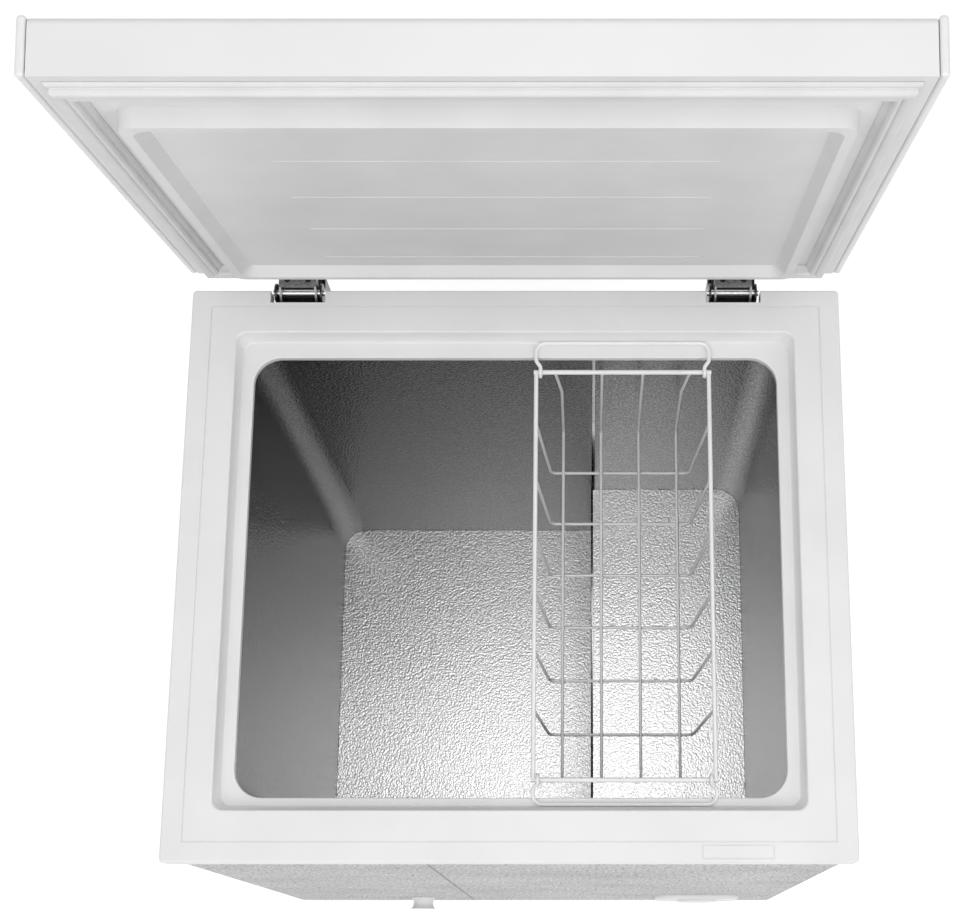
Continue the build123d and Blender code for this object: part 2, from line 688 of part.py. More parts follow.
with BuildPart() as compressor_plate:
    plate_x = (comp_x - FOOT_PLATE_WIDTH / 2, comp_x + FOOT_PLATE_WIDTH / 2)
    plate_y = (comp_y - FOOT_PLATE_LONG / 2, comp_y + FOOT_PLATE_LONG / 2)
    block(plate_x, plate_y, (plate_low, shell_low), FOOT_PLATE_CORNER)
    for x, y in stud_places:
        rod((x, y, plate_low), (0, 0, 1), FOOT_PLATE, STUD_RADIUS + FIT, Mode.SUBTRACT)
save(compressor_plate.part, "compressor_plate")

with BuildPart() as compressor_grommets:
    for x, y in stud_places:
        rod((x, y, base_top), (0, 0, 1), GROMMET_TALL, GROMMET_RADIUS)
        rod((x, y, base_top), (0, 0, 1), GROMMET_TALL, STUD_RADIUS + FIT, Mode.SUBTRACT)
save(compressor_grommets.part, "compressor_grommets")

with BuildPart() as compressor_studs:
    for x, y in stud_places:
        rod((x, y, FOOT_HEIGHT), (0, 0, 1), shell_low + STUD_TOP - FOOT_HEIGHT, STUD_RADIUS)
        with BuildSketch(Plane.XY.offset(shell_low)) as nut:
            with Locations((x, y)):
                RegularPolygon(NUT_FLATS / 2, 6, major_radius=False)
        extrude(nut.sketch, amount=NUT_TALL)
save(compressor_studs.part, "compressor_studs")

with BuildPart() as relay_cover:
    relay_z = shell_low + COMP_ROUND + RELAY_RISE
    block(
        (comp_x - RELAY_WIDTH / 2, comp_x + RELAY_WIDTH / 2),
        (comp_span_y[0] - RELAY_DEEP, comp_span_y[0]),
        (relay_z, min(relay_z + RELAY_TALL, seam_z - FIT)),
    )
    fillet(relay_cover.faces().sort_by(Axis.Y)[0].edges(), RELAY_ROUND)
save(relay_cover.part, "relay_cover")

# Lines between the compressor, the drier and the two coils
suction_x = comp_span_x[0]
suction_y = comp_y
with BuildPart() as suction_line:
    bent_wire(
        [
            (coil_x[1], coil_y[1], coil_levels[0]),
            (suction_turn_x, coil_y[1], coil_levels[0]),
            (suction_turn_x, suction_y, coil_levels[0]),
            (suction_turn_x, suction_y, seam_z - TUBE_BEND),
            (suction_x, suction_y, seam_z - TUBE_BEND),
        ],
        TUBE_BEND / 2,
        TUBE_RADIUS,
    )
save(suction_line.part, "suction_line")

with BuildPart() as discharge_line:
    discharge_z = condenser_levels[0]
    bent_wire(
        [
            (condenser_ends[1], condenser_y, discharge_z),
            (comp_x, condenser_y, discharge_z),
            (comp_x, comp_span_y[1], discharge_z),
        ],
        TUBE_BEND / 2,
        CONDENSER_RADIUS,
    )
save(discharge_line.part, "discharge_line")

with BuildPart() as filter_drier:
    rod((drier_x, drier_y, drier_top), (0, 0, -1), DRIER_TALL, DRIER_RADIUS)
    fillet(filter_drier.edges().filter_by(GeomType.CIRCLE), DRIER_RADIUS * 0.6)
save(filter_drier.part, "filter_drier")

with BuildPart() as capillary_tube:
    bent_wire(
        [
            (drier_x, drier_y, drier_top),
            (drier_x, drier_y, capillary_z),
            (coil_x[1] + CAPILLARY_BEND, drier_y, capillary_z),
            (coil_x[1] + CAPILLARY_BEND, drier_y, coil_levels[-1]),
        ],
        CAPILLARY_BEND * 0.7,
        CAPILLARY_RADIUS,
    )
save(capillary_tube.part, "capillary_tube")

# Vented cover over the bay and the gland for the mains lead
gland_x = cover_x[0] + COVER_MARGIN
with BuildPart() as compressor_cover:
    block(grow(cover_x, COVER_LAP), (shell_y, shell_y + SHEET), grow(cover_z, COVER_LAP))
    middle = ((cover_x[0] + cover_x[1]) / 2, (cover_z[0] + cover_z[1]) / 2)
    with BuildSketch(Plane.XZ.offset(-shell_y)):
        with Locations((middle[0], middle[1] + VENT_PITCH_Z / 2)):
            with GridLocations(VENT_PITCH_X, VENT_PITCH_Z, VENT_COLUMNS, VENT_ROWS - 1):
                SlotOverall(VENT_LENGTH, VENT_WIDTH)
    extrude(amount=-SHEET, mode=Mode.SUBTRACT)
    rod((gland_x, shell_y, GLAND_HEIGHT), (0, 1, 0), SHEET, GLAND_RADIUS + FIT, Mode.SUBTRACT)
    for x, z in cover_screw_places:
        rod((x, shell_y, z), (0, 1, 0), SHEET, COVER_SCREW_RADIUS + SCREW_CLEAR, Mode.SUBTRACT)
save(compressor_cover.part, "compressor_cover")

with BuildPart() as cover_screws:
    for x, z in cover_screw_places:
        seat = (x, shell_y + SHEET, z)
        rod(seat, (0, 1, 0), SCREW_HEAD, COVER_SCREW_HEAD_RADIUS)
        rod(seat, (0, -1, 0), COVER_SCREW_LENGTH, COVER_SCREW_RADIUS)
save(cover_screws.part, "cover_screws")

with BuildPart() as cord_gland:
    gland_seat = (gland_x, shell_y + SHEET, GLAND_HEIGHT)
    rod(gland_seat, (0, 1, 0), GLAND_FLANGE_TALL, GLAND_FLANGE)
    fillet(cord_gland.edges().group_by(Axis.Y)[-1], GLAND_FLANGE_TALL / 2)
    rod(gland_seat, (0, -1, 0), 2 * GLAND_FLANGE_TALL, GLAND_RADIUS)
    gland_end = (gland_x, shell_y + SHEET + GLAND_FLANGE_TALL, GLAND_HEIGHT)
    rod(gland_end, (0, -1, 0), 3 * GLAND_FLANGE_TALL, GLAND_BORE, Mode.SUBTRACT)
save(cord_gland.part, "cord_gland")

# Drain: elbow under the deep floor, cap inside and plug on the front
with BuildPart() as drain_tube:
    bend_points = [
        (drain_x, drain_y, deep - SHEET - FIT),
        (drain_x, drain_y, DRAIN_HEIGHT),
        (drain_x, -shell_y, DRAIN_HEIGHT),
    ]
    bent_wire(bend_points, DRAIN_BEND, DRAIN_RADIUS)
    bent_wire(bend_points, DRAIN_BEND, DRAIN_BORE, Mode.SUBTRACT)
save(drain_tube.part, "drain_tube")

with BuildPart() as drain_plug:
    with BuildSketch(Plane(origin=(drain_x, -shell_y, DRAIN_HEIGHT), x_dir=(1, 0, 0), z_dir=(0, 0, 1))):
        with BuildLine():
            Polyline(
                (0, PLUG_STEM_LENGTH),
                (PLUG_STEM, PLUG_STEM_LENGTH),
                (PLUG_STEM, -FIT),
                (PLUG_FLANGE, -FIT),
            )
            ThreePointArc(
                (PLUG_FLANGE, -FIT), (PLUG_WAIST, -PLUG_LENGTH / 2), (PLUG_FLANGE, -PLUG_LENGTH)
            )
            Polyline((PLUG_FLANGE, -PLUG_LENGTH), (0, -PLUG_LENGTH), (0, PLUG_STEM_LENGTH))
        make_face()
    revolve(axis=Axis((drain_x, -shell_y, DRAIN_HEIGHT), (0, 1, 0)))
save(drain_plug.part, "drain_plug")

with BuildPart() as floor_drain_cap:
    rod((drain_x, drain_y, deep + FIT), (0, 0, 1), CAP_HEIGHT, CAP_RADIUS)
    fillet(floor_drain_cap.edges().group_by(Axis.Z)[-1], CAP_HEIGHT / 2)
    rod((drain_x, drain_y, deep + FIT), (0, 0, -1), CAP_STEM_LENGTH, PLUG_STEM)
save(floor_drain_cap.part, "floor_drain_cap")

# Thermostat: body behind the panel, bezel and turning knob in front
with BuildPart() as thermostat_bezel:
    with BuildSketch(Plane.XZ.offset(shell_y)):
        with Locations((dial_x, DIAL_HEIGHT)):
            RectangleRounded(BEZEL_WIDTH, BEZEL_TALL, BEZEL_CORNER)
    extrude(amount=BEZEL_PROUD)
    fillet(thermostat_bezel.faces().sort_by(Axis.Y)[0].edges(), BEZEL_ROUND)
    face_y = -shell_y - BEZEL_PROUD
    rod((dial_x, face_y, DIAL_HEIGHT), (0, 1, 0), KNOB_SEAT, KNOB_RADIUS + KNOB_GAP, Mode.SUBTRACT)
    rod((dial_x, face_y, DIAL_HEIGHT), (0, 1, 0), BEZEL_PROUD, SHAFT_RADIUS + FIT, Mode.SUBTRACT)
save(thermostat_bezel.part, "thermostat_bezel")

knob_back = -shell_y - BEZEL_PROUD + KNOB_SEAT - 2 * FIT
with BuildPart() as thermostat_knob:
    rod((dial_x, knob_back, DIAL_HEIGHT), (0, -1, 0), KNOB_TALL, KNOB_RADIUS)
    fillet(thermostat_knob.edges().group_by(Axis.Y)[0], KNOB_ROUND)
    block(
        (dial_x - KNOB_MARK_WIDTH / 2, dial_x + KNOB_MARK_WIDTH / 2),
        (knob_back - KNOB_TALL, knob_back - KNOB_TALL + KNOB_MARK_DEPTH),
        (DIAL_HEIGHT + KNOB_RADIUS / 3, DIAL_HEIGHT + KNOB_RADIUS),
        mode=Mode.SUBTRACT,
    )
    rod((dial_x, knob_back, DIAL_HEIGHT), (0, -1, 0), SHAFT_GRIP, SHAFT_RADIUS + SHAFT_CLEAR, Mode.SUBTRACT)
save(thermostat_knob.part, "thermostat_knob")

with BuildPart() as thermostat_body:
    block(
        (dial_x - THERMO_WIDTH / 2, dial_x + THERMO_WIDTH / 2),
        (inside_y[0], inside_y[0] + THERMO_DEEP),
        (DIAL_HEIGHT - THERMO_TALL / 2, DIAL_HEIGHT + THERMO_TALL / 2),
    )
    shaft_front = knob_back - SHAFT_GRIP + FIT
    rod((dial_x, inside_y[0], DIAL_HEIGHT), (0, -1, 0), inside_y[0] - shaft_front, SHAFT_RADIUS)
save(thermostat_body.part, "thermostat_body")

# Hinges: base bracket, pin, plunger and spring on the cabinet, lever on the lid
plunger_top = pivot_z - CAM_SMALL - CAM_GAP
plunger_low = plunger_top - PLUNGER_PLATE
base_y = (shell_y, shell_y + BASE_DEPTH)
stem_y = (base_y[0] + base_y[1] - 2 * HINGE_PLATE) / 2 + HINGE_PLATE
guide_top = rim - GUIDE_DROP + HINGE_PLATE
lid_low = rim + SEAL_GAP
lid_y = (frame_y[0] - LID_FRONT_OVERHANG, frame_y[1] - LID_REAR_SETBACK)
web_y = (lid_y[1] + FIT, lid_y[1] + FIT + HINGE_PLATE)


def coil_points(x, y, low, high, radius, turns):
    """Points of a helix, eight to a turn, rising evenly from low to high."""
    steps = 8 * turns
    return [
        (
            x + radius * cos(2 * pi * i / 8),
            y + radius * sin(2 * pi * i / 8),
            low + (high - low) * i / steps,
        )
        for i in range(steps + 1)
    ]


for side, x in hinge_sides:
    cheek_x = BASE_WIDTH / 2
    with BuildPart() as hinge_base:
        base_z = (rim - BASE_DROP, rim - BASE_REAR_TOP)
        block((x - cheek_x, x + cheek_x), base_y, base_z)
        block(
            (x - cheek_x + HINGE_PLATE, x + cheek_x - HINGE_PLATE),
            grow(base_y, -HINGE_PLATE),
            (base_z[0] + HINGE_PLATE, base_z[1]),
            mode=Mode.SUBTRACT,
        )
        block((x - cheek_x, x + cheek_x), (notch_y[0] + FIT, base_y[0] + HINGE_PLATE), tongue_z)
        block(
            (x - cheek_x + HINGE_PLATE, x + cheek_x - HINGE_PLATE),
            grow(base_y, -HINGE_PLATE),
            (guide_top - HINGE_PLATE, guide_top),
        )
        rod(
            (x, stem_y, guide_top - HINGE_PLATE),
            (0, 0, 1),
            HINGE_PLATE,
            STEM_ROD_RADIUS + PIN_CLEAR,
            Mode.SUBTRACT,
        )
        for ear in (-1, 1):
            ear_x = sorted((x + ear * cheek_x, x + ear * (cheek_x + EAR_WIDTH)))
            block(ear_x, (base_y[0], base_y[0] + HINGE_PLATE), (rim - EAR_BOTTOM, rim - EAR_TOP))
            for drop in EAR_SCREW_DROPS:
                start = (x + ear * ear_screw_x, base_y[0], rim - drop)
                rod(start, (0, 1, 0), HINGE_PLATE, SCREW_RADIUS + SCREW_CLEAR, Mode.SUBTRACT)
            cheek = sorted((x + ear * cheek_x, x + ear * (cheek_x - HINGE_PLATE)))
            with BuildSketch(Plane.YZ.offset(cheek[0])) as eye:
                with Locations((pivot_y, pivot_z)):
                    Circle(BASE_EYE)
                with Locations((pivot_y, (pivot_z + base_z[1]) / 2)):
                    Rectangle(2 * BASE_EYE, abs(pivot_z - base_z[1]))
                with Locations((pivot_y, pivot_z)):
                    Circle(PIN_RADIUS + PIN_CLEAR, mode=Mode.SUBTRACT)
            extrude(eye.sketch, amount=HINGE_PLATE)
    save(hinge_base.part, "hinge_base_" + side)

    with BuildPart() as hinge_pin:
        pin_half = cheek_x + HINGE_PLATE
        rod((x - pin_half, pivot_y, pivot_z), (1, 0, 0), 2 * pin_half, PIN_RADIUS)
    save(hinge_pin.part, "hinge_pin_" + side)

    with BuildPart() as hinge_plunger:
        reach_x = cheek_x - HINGE_PLATE - PLUNGER_SIDE_CLEAR
        reach_y = grow(base_y, -HINGE_PLATE - FIT)
        block((x - reach_x, x + reach_x), reach_y, (plunger_low, plunger_top))
        rod((x, stem_y, plunger_low), (0, 0, -1), STEM_LENGTH, STEM_ROD_RADIUS)
    save(hinge_plunger.part, "hinge_plunger_" + side)

    spring_low = guide_top + SPRING_WIRE + FIT
    spring_high = plunger_low - SPRING_WIRE - FIT
    turns = coil_points(x, stem_y, spring_low, spring_high, SPRING_RADIUS, SPRING_TURNS)
    with BuildPart() as hinge_spring:
        with BuildLine() as winding:
            for i in range(0, len(turns) - 2, 2):
                ThreePointArc(turns[i], turns[i + 1], turns[i + 2])
        start_edge = winding.edges().sort_by(Axis.Z)[0]
        with BuildSketch(Plane(origin=turns[0], z_dir=start_edge % 0)) as wire_section:
            Circle(SPRING_WIRE)
        sweep(wire_section.sketch, path=winding.wires()[0])
    save(hinge_spring.part, "hinge_spring_" + side)

    with BuildPart() as hinge_lever:
        half = LEVER_WIDTH / 2
        block((x - half, x + half), web_y, (rim - LEVER_TAIL, rim + LEVER_REACH))
        for ear in (-1, 1):
            cheek = sorted((x + ear * half, x + ear * (half - HINGE_PLATE)))
            spiral = []
            for i in range(CAM_STEPS + 1):
                turn = radians(OPEN_ANGLE) * i / CAM_STEPS
                reach = CAM_LARGE - (CAM_LARGE - CAM_SMALL) * i / CAM_STEPS
                spiral.append((pivot_y + reach * sin(turn), pivot_z - reach * cos(turn)))
            with BuildSketch(Plane.YZ.offset(cheek[0])) as profile:
                with BuildLine():
                    Spline(*spiral)
                    Polyline(
                        spiral[-1],
                        (pivot_y + CAM_SMALL, pivot_z + CAM_SMALL / 2),
                        (web_y[0] + LEVER_CHEEK_REACH, rim + LEVER_CHEEK_TOP),
                        (web_y[0], rim + LEVER_CHEEK_TOP),
                        (web_y[0], rim - LEVER_TAIL),
                        spiral[0],
                    )
                make_face()
                with Locations((pivot_y, pivot_z)):
                    Circle(PIN_RADIUS + PIN_CLEAR, mode=Mode.SUBTRACT)
            extrude(profile.sketch, amount=HINGE_PLATE)
            hole = (x + ear * LEVER_HOLE_X, web_y[0], rim + LEVER_HOLE_Z)
            rod(hole, (0, 1, 0), HINGE_PLATE, LEVER_HOLE_RADIUS, Mode.SUBTRACT)
        for rise in LID_SCREW_RISES:
            start = (x, web_y[0], rim + rise)
            rod(start, (0, 1, 0), HINGE_PLATE, SCREW_RADIUS + SCREW_CLEAR, Mode.SUBTRACT)
    save_opened(hinge_lever.part, "hinge_lever_" + side)

with BuildPart() as hinge_screws:
    for _, x in hinge_sides:
        for drop in EAR_SCREW_DROPS:
            for ear in (-1, 1):
                seat = (x + ear * ear_screw_x, base_y[0] + HINGE_PLATE, rim - drop)
                rod(seat, (0, 1, 0), SCREW_HEAD, SCREW_HEAD_RADIUS)
                rod(seat, (0, -1, 0), SCREW_LENGTH, SCREW_RADIUS)
save(hinge_screws.part, "hinge_screws")

with BuildPart() as lid_screws:
    for _, x in hinge_sides:
        for rise in LID_SCREW_RISES:
            seat = (x, web_y[1], rim + rise)
            rod(seat, (0, 1, 0), SCREW_HEAD, SCREW_HEAD_RADIUS)
            rod(seat, (0, -1, 0), SCREW_LENGTH, SCREW_RADIUS)
save_opened(lid_screws.part, "lid_screws")

# Lid: bent outer sheet, end caps, foam, inner liner with its ridge, and the gasket
lid_top = lid_low + LID_THICK
lid_side = WIDTH / 2 + LID_SIDE_OVERHANG
lid_x = grow((-lid_side, lid_side), -CAP_THICK - CAP_GAP)
with BuildPart() as lid_panel:
    with BuildSketch(Plane.YZ.offset(lid_x[0])) as lid_section:
        with Locations(((lid_y[0] + lid_y[1]) / 2, (lid_low + lid_top) / 2)):
            Rectangle(lid_y[1] - lid_y[0], LID_THICK)
        fillet(lid_section.vertices().group_by(Axis.Y)[-1], LID_ROUND)
    extrude(amount=lid_x[1] - lid_x[0])
    with BuildSketch(Plane.YZ.offset(lid_x[0])) as lid_hollow:
        with Locations(((lid_y[0] + lid_y[1]) / 2, (lid_low + lid_top - LID_SHEET) / 2)):
            Rectangle(lid_y[1] - lid_y[0] - 2 * LID_SHEET, LID_THICK - LID_SHEET)
        fillet(lid_hollow.vertices().group_by(Axis.Y)[-1], LID_ROUND - LID_SHEET)
    extrude(amount=lid_x[1] - lid_x[0], mode=Mode.SUBTRACT)
    for _, x in hinge_sides:
        for rise in LID_SCREW_RISES:
            start = (x, lid_y[1] - LID_SHEET, rim + rise)
            rod(start, (0, 1, 0), LID_SHEET, SCREW_RADIUS + SCREW_CLEAR, Mode.SUBTRACT)
save_opened(lid_panel.part, "lid_panel")

for side, x in (("left", -lid_side), ("right", lid_side - CAP_THICK)):
    with BuildPart() as lid_cap:
        block((x, x + CAP_THICK), grow(lid_y, CAP_PROUD), (lid_low, lid_top + CAP_PROUD))
        fillet(lid_cap.edges(), CAP_ROUND)
    save_opened(lid_cap.part, "lid_cap_" + side)

plate_y = grow(lid_y, -LID_SHEET - FIT)
with BuildPart() as lid_foam:
    foam_z = (lid_low + LINER_PLATE + FIT, lid_top - LID_SHEET - FIT)
    block(lid_x, plate_y, foam_z)
    fillet(lid_foam.edges().filter_by(Axis.X).group_by(Axis.Z)[-1], LID_ROUND)
    for _, x in hinge_sides:
        for rise in LID_SCREW_RISES:
            start = (x, plate_y[1], rim + rise)
            rod(start, (0, -1, 0), SCREW_LENGTH, SCREW_RADIUS + SCREW_CLEAR, Mode.SUBTRACT)
save_opened(lid_foam.part, "lid_foam")

ridge_x = grow(step_x, -RIDGE_SIDE_GAP)
ridge_y = (step_y[0] + RIDGE_FRONT_GAP, step_y[1] - RIDGE_REAR_GAP)
ridge_low = lid_low - RIDGE_HEIGHT
pan_face = ridge_low + PAN_DEPTH
rib_ends = (ridge_y[0] + RIB_FRONT_INSET, ridge_y[1] - RIB_REAR_INSET)
with BuildPart() as lid_liner:
    block(lid_x, plate_y, (lid_low, lid_low + LINER_PLATE))
    with BuildSketch(Plane.XY.offset(lid_low)) as ridge:
        with Locations((0, (ridge_y[0] + ridge_y[1]) / 2)):
            RectangleRounded(ridge_x[1] - ridge_x[0], ridge_y[1] - ridge_y[0], RIDGE_CORNER)
    extrude(ridge.sketch, amount=RIDGE_HEIGHT, dir=(0, 0, -1), taper=RIDGE_TAPER)
    with BuildSketch(Plane.XY.offset(ridge_low)) as pan:
        drawn_in = RIDGE_TOP + RIDGE_HEIGHT * sin(radians(RIDGE_TAPER))
        with Locations((0, (ridge_y[0] + ridge_y[1]) / 2)):
            RectangleRounded(
                ridge_x[1] - ridge_x[0] - 2 * drawn_in,
                ridge_y[1] - ridge_y[0] - 2 * drawn_in,
                RIDGE_CORNER,
            )
    extrude(pan.sketch, amount=PAN_DEPTH, taper=PAN_TAPER, mode=Mode.SUBTRACT)
    for i in range(RIB_COUNT):
        rib_y = rib_ends[0] + (rib_ends[1] - rib_ends[0]) * i / (RIB_COUNT - 1)
        with BuildSketch(Plane.XY.offset(pan_face)) as rib:
            with Locations((0, rib_y)):
                SlotOverall(RIB_LENGTH, RIB_WIDTH)
        extrude(rib.sketch, amount=-RIB_HEIGHT)
save_opened(lid_liner.part, "lid_liner")

gasket_x = grow(frame_x, -GASKET_SIDE_INSET)
gasket_y = (lid_y[0] + GASKET_FRONT_INSET, lid_y[1] - GASKET_REAR_INSET)
bead_low = rim + SEAL_CLEAR
with BuildPart() as lid_gasket:
    block(gasket_x, gasket_y, (lid_low - GASKET_BASE, lid_low), GASKET_CORNER)
    bead_x = grow(gasket_x, -GASKET_BEAD_INSET)
    bead_y = grow(gasket_y, -GASKET_BEAD_INSET)
    block(bead_x, bead_y, (bead_low, lid_low - GASKET_BASE), GASKET_CORNER)
    fillet(lid_gasket.edges().group_by(Axis.Z)[0], GASKET_ROUND)
    block(
        grow(gasket_x, -GASKET_WIDTH + GASKET_BEAD_INSET),
        grow(gasket_y, -GASKET_WIDTH + GASKET_BEAD_INSET),
        (bead_low, lid_low - GASKET_BASE),
        GASKET_CORNER,
        Mode.SUBTRACT,
    )
    block(
        grow(gasket_x, -GASKET_WIDTH),
        grow(gasket_y, -GASKET_WIDTH),
        (bead_low, lid_low),
        GASKET_CORNER,
        Mode.SUBTRACT,
    )
save_opened(lid_gasket.part, "lid_gasket")

# Basket: frame with straight end wires, bent wires welded under it, swinging handles
basket_z = rim - BASKET_DROP
basket_x = (basket_mid - BASKET_WIDTH / 2, basket_mid + BASKET_WIDTH / 2)
basket_y = (frame_y[0] + BASKET_FRONT, frame_y[1] - BASKET_REAR)
floor_wire = rim - BASKET_FLOOR_DROP
eye_x = grow(basket_x, -SIDE_WIRE - HANDLE_WIRE - HANDLE_GAP)
eye_radius = FRAME_WIRE + EYE_CLEAR + HANDLE_WIRE
with BuildPart() as basket_frame:
    for y in basket_y:
        ends = grow(basket_x, SIDE_WIRE + END_GAP)
        rod((ends[0], y, basket_z), (1, 0, 0), ends[1] - ends[0], FRAME_WIRE)
    for x in basket_x:
        rod((x, basket_y[0], basket_z), (0, 1, 0), basket_y[1] - basket_y[0], SIDE_WIRE)
save(basket_frame.part, "basket_frame")

with BuildPart() as basket_cross_wires:
    low_x = grow(basket_x, -BASKET_SIDE_TAPER)
    weld_z = basket_z - SIDE_WIRE - END_GAP
    for i in range(CROSS_COUNT):
        y = (basket_y[0] + basket_y[1]) / 2 + CROSS_SHIFT + (i - (CROSS_COUNT - 1) / 2) * CROSS_PITCH
        bent_wire(
            [
                (basket_x[0], y, weld_z),
                (low_x[0], y, floor_wire),
                (low_x[1], y, floor_wire),
                (basket_x[1], y, weld_z),
            ],
            WIRE_BEND,
            THIN_WIRE,
        )
save(basket_cross_wires.part, "basket_cross_wires")

with BuildPart() as basket_long_wires:
    low_y = (basket_y[0] + BASKET_FRONT_TAPER, basket_y[1] - BASKET_REAR_TAPER)
    weld_z = basket_z - FRAME_WIRE - END_GAP
    level = floor_wire + 2 * THIN_WIRE + WELD_GAP
    slope = FLARE_DROP / (weld_z - level)
    knee_y = [end + (low - end) * slope for end, low in zip(basket_y, low_y)]
    for i in range(LONG_COUNT):
        x = basket_mid + (i - (LONG_COUNT - 1) / 2) * LONG_PITCH
        floor_run = [(x, low_y[0], level), (x, low_y[1], level)]
        if i in (0, LONG_COUNT - 1):
            top_x = x - FLARE if i == 0 else x + FLARE
            front_end = [(top_x, basket_y[0], weld_z), (x, knee_y[0], weld_z - FLARE_DROP)]
            rear_end = [(x, knee_y[1], weld_z - FLARE_DROP), (top_x, basket_y[1], weld_z)]
            bends = [FLARE_BEND, WIRE_BEND, WIRE_BEND, FLARE_BEND]
        else:
            front_end = [(x, basket_y[0], weld_z)]
            rear_end = [(x, basket_y[1], weld_z)]
            bends = [WIRE_BEND, WIRE_BEND]
        bent_wire(front_end + floor_run + rear_end, bends, THIN_WIRE)
save(basket_long_wires.part, "basket_long_wires")

rest_z = ledge + HANDLE_GAP + HANDLE_WIRE
eye_top = basket_z + eye_radius


def eye_point(x, y, way, turn):
    """A point of a handle eye, turned back from its top by an angle in degrees."""
    angle = radians(turn)
    return (x, y - way * eye_radius * sin(angle), basket_z + eye_radius * cos(angle))


for side, y, rest_y, way in (
    ("front", basket_y[0], frame_y[0] + HANDLE_REST_FRONT, -1),
    ("rear", basket_y[1], frame_y[1] - HANDLE_REST_REAR, 1),
):
    knee_y = y + way * HANDLE_KNEE
    jog_y = knee_y + way * HANDLE_RISE
    loop = [
        (eye_x[0], y, eye_top),
        (eye_x[0], knee_y, eye_top),
        (basket_x[0], jog_y, rest_z),
        (basket_x[0], rest_y, rest_z),
        (basket_x[1], rest_y, rest_z),
        (basket_x[1], jog_y, rest_z),
        (eye_x[1], knee_y, eye_top),
        (eye_x[1], y, eye_top),
    ]
    bends = [HANDLE_KNEE_BEND, HANDLE_KNEE_BEND, HANDLE_CORNER]
    with BuildPart() as basket_handle:
        with BuildLine() as handle_route:
            for x in eye_x:
                ThreePointArc(*[eye_point(x, y, way, EYE_SWEEP * part) for part in (1, 0.5, 0)])
            FilletPolyline(*loop, radius=bends + bends[::-1])
        start = eye_point(eye_x[0], y, way, EYE_SWEEP)
        angle = radians(EYE_SWEEP)
        with BuildSketch(Plane(origin=start, z_dir=(0, way * cos(angle), sin(angle)))) as wire_end:
            Circle(HANDLE_WIRE)
        sweep(wire_end.sketch, path=handle_route.wires()[0])
    save(basket_handle.part, "basket_handle_" + side)
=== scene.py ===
import math

import bpy
import numpy as np
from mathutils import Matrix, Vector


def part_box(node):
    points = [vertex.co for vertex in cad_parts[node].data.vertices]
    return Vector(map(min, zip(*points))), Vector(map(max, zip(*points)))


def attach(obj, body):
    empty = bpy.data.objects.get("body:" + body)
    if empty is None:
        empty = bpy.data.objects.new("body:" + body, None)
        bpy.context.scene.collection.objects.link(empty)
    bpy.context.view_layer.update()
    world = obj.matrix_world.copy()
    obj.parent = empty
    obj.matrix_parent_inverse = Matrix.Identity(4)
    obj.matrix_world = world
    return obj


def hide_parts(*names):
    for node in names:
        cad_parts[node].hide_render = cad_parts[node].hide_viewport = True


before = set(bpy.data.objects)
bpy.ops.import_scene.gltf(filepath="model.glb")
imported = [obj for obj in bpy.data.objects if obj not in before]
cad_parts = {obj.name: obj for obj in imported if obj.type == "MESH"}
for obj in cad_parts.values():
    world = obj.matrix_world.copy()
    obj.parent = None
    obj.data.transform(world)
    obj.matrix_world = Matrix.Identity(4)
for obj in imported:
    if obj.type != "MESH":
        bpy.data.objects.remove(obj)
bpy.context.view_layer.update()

scene = bpy.context.scene
MM = 0.001

# Sizes shared with the solids, in metres
RIM = 0.800
WIDTH = 0.625
DEPTH = 0.545
OPEN_ANGLE = math.radians(81.74)
PIVOT = np.array([0.0, 0.2725, 0.793])
LID_LOW = RIM + 9.3 * MM
LID_FRONT = -DEPTH / 2 - 7.0 * MM
LID_REAR = DEPTH / 2 - 12.5 * MM
GASKET_X = WIDTH / 2 - 14.5 * MM
GASKET_FRONT = LID_FRONT + 10.0 * MM
GASKET_REAR = LID_REAR - 11.5 * MM
BASKET_SIDES = np.array([20.0, 187.0]) * MM
BASKET_ENDS = np.array([-196.8, 195.9]) * MM
BASKET_TOP = RIM - 21.0 * MM
BASKET_FLOOR = RIM - 197.0 * MM
CROSS_WIRES = (6.4 + (np.arange(6) - 2.5) * 55.3) * MM
LONG_WIRES = (103.5 + (np.arange(4) - 1.5) * 39.7) * MM
LONG_TOPS = LONG_WIRES + np.array([-5.5, 0.0, 0.0, 5.5]) * MM
LINER_FRONT = -215.4 * MM
LINER_REAR = 210.9 * MM
LINER_TOP = 779.8 * MM
STEP_TOP = 300.0 * MM
RISER = 74.0 * MM
HINGE_X = 210.5 * MM
EAR_X = 29.5 * MM
EAR_FACE = 270.5 * MM
LEVER_FACE = 262.2 * MM
EAR_SCREWS = RIM - np.array([138.0, 72.0]) * MM
LEVER_SCREWS = RIM + np.array([24.0, 38.0]) * MM
COVER_SCREW_RADIUS = 4.0 * MM
HINGE_SCREW_RADIUS = 4.5 * MM
SCREW_HEAD_TALL = 2.6 * MM

# Sizes of what this script adds, in metres
SLAB_JOINT_X = -80.0 * MM
WELD_BEAD = np.array([2.1, 2.4, 1.6]) * MM
FLOOR_HALF = 6.0

# The photograph's view: its size, focal length and sight point in pixels, and the camera in metres
PHOTO_WIDTH, PHOTO_HEIGHT = 964, 920
FOCAL_PIXELS = 1804
SIGHT_X, SIGHT_Y = 590.5, 505.4
SENSOR_MM = 36.0
CAMERA_PLACE = (0.0725, -0.380, RIM + 1.6339)
CAMERA_DOWN = math.radians(75.03)


def linear(code):
    """A colour written as an sRGB hex number, turned to the linear values that shaders use."""
    channels = np.array([(code >> shift) & 255 for shift in (16, 8, 0)]) / 255
    low = channels / 12.92
    high = ((channels + 0.055) / 1.055) ** 2.4
    return (*np.where(channels <= 0.04045, low, high).tolist(), 1.0)


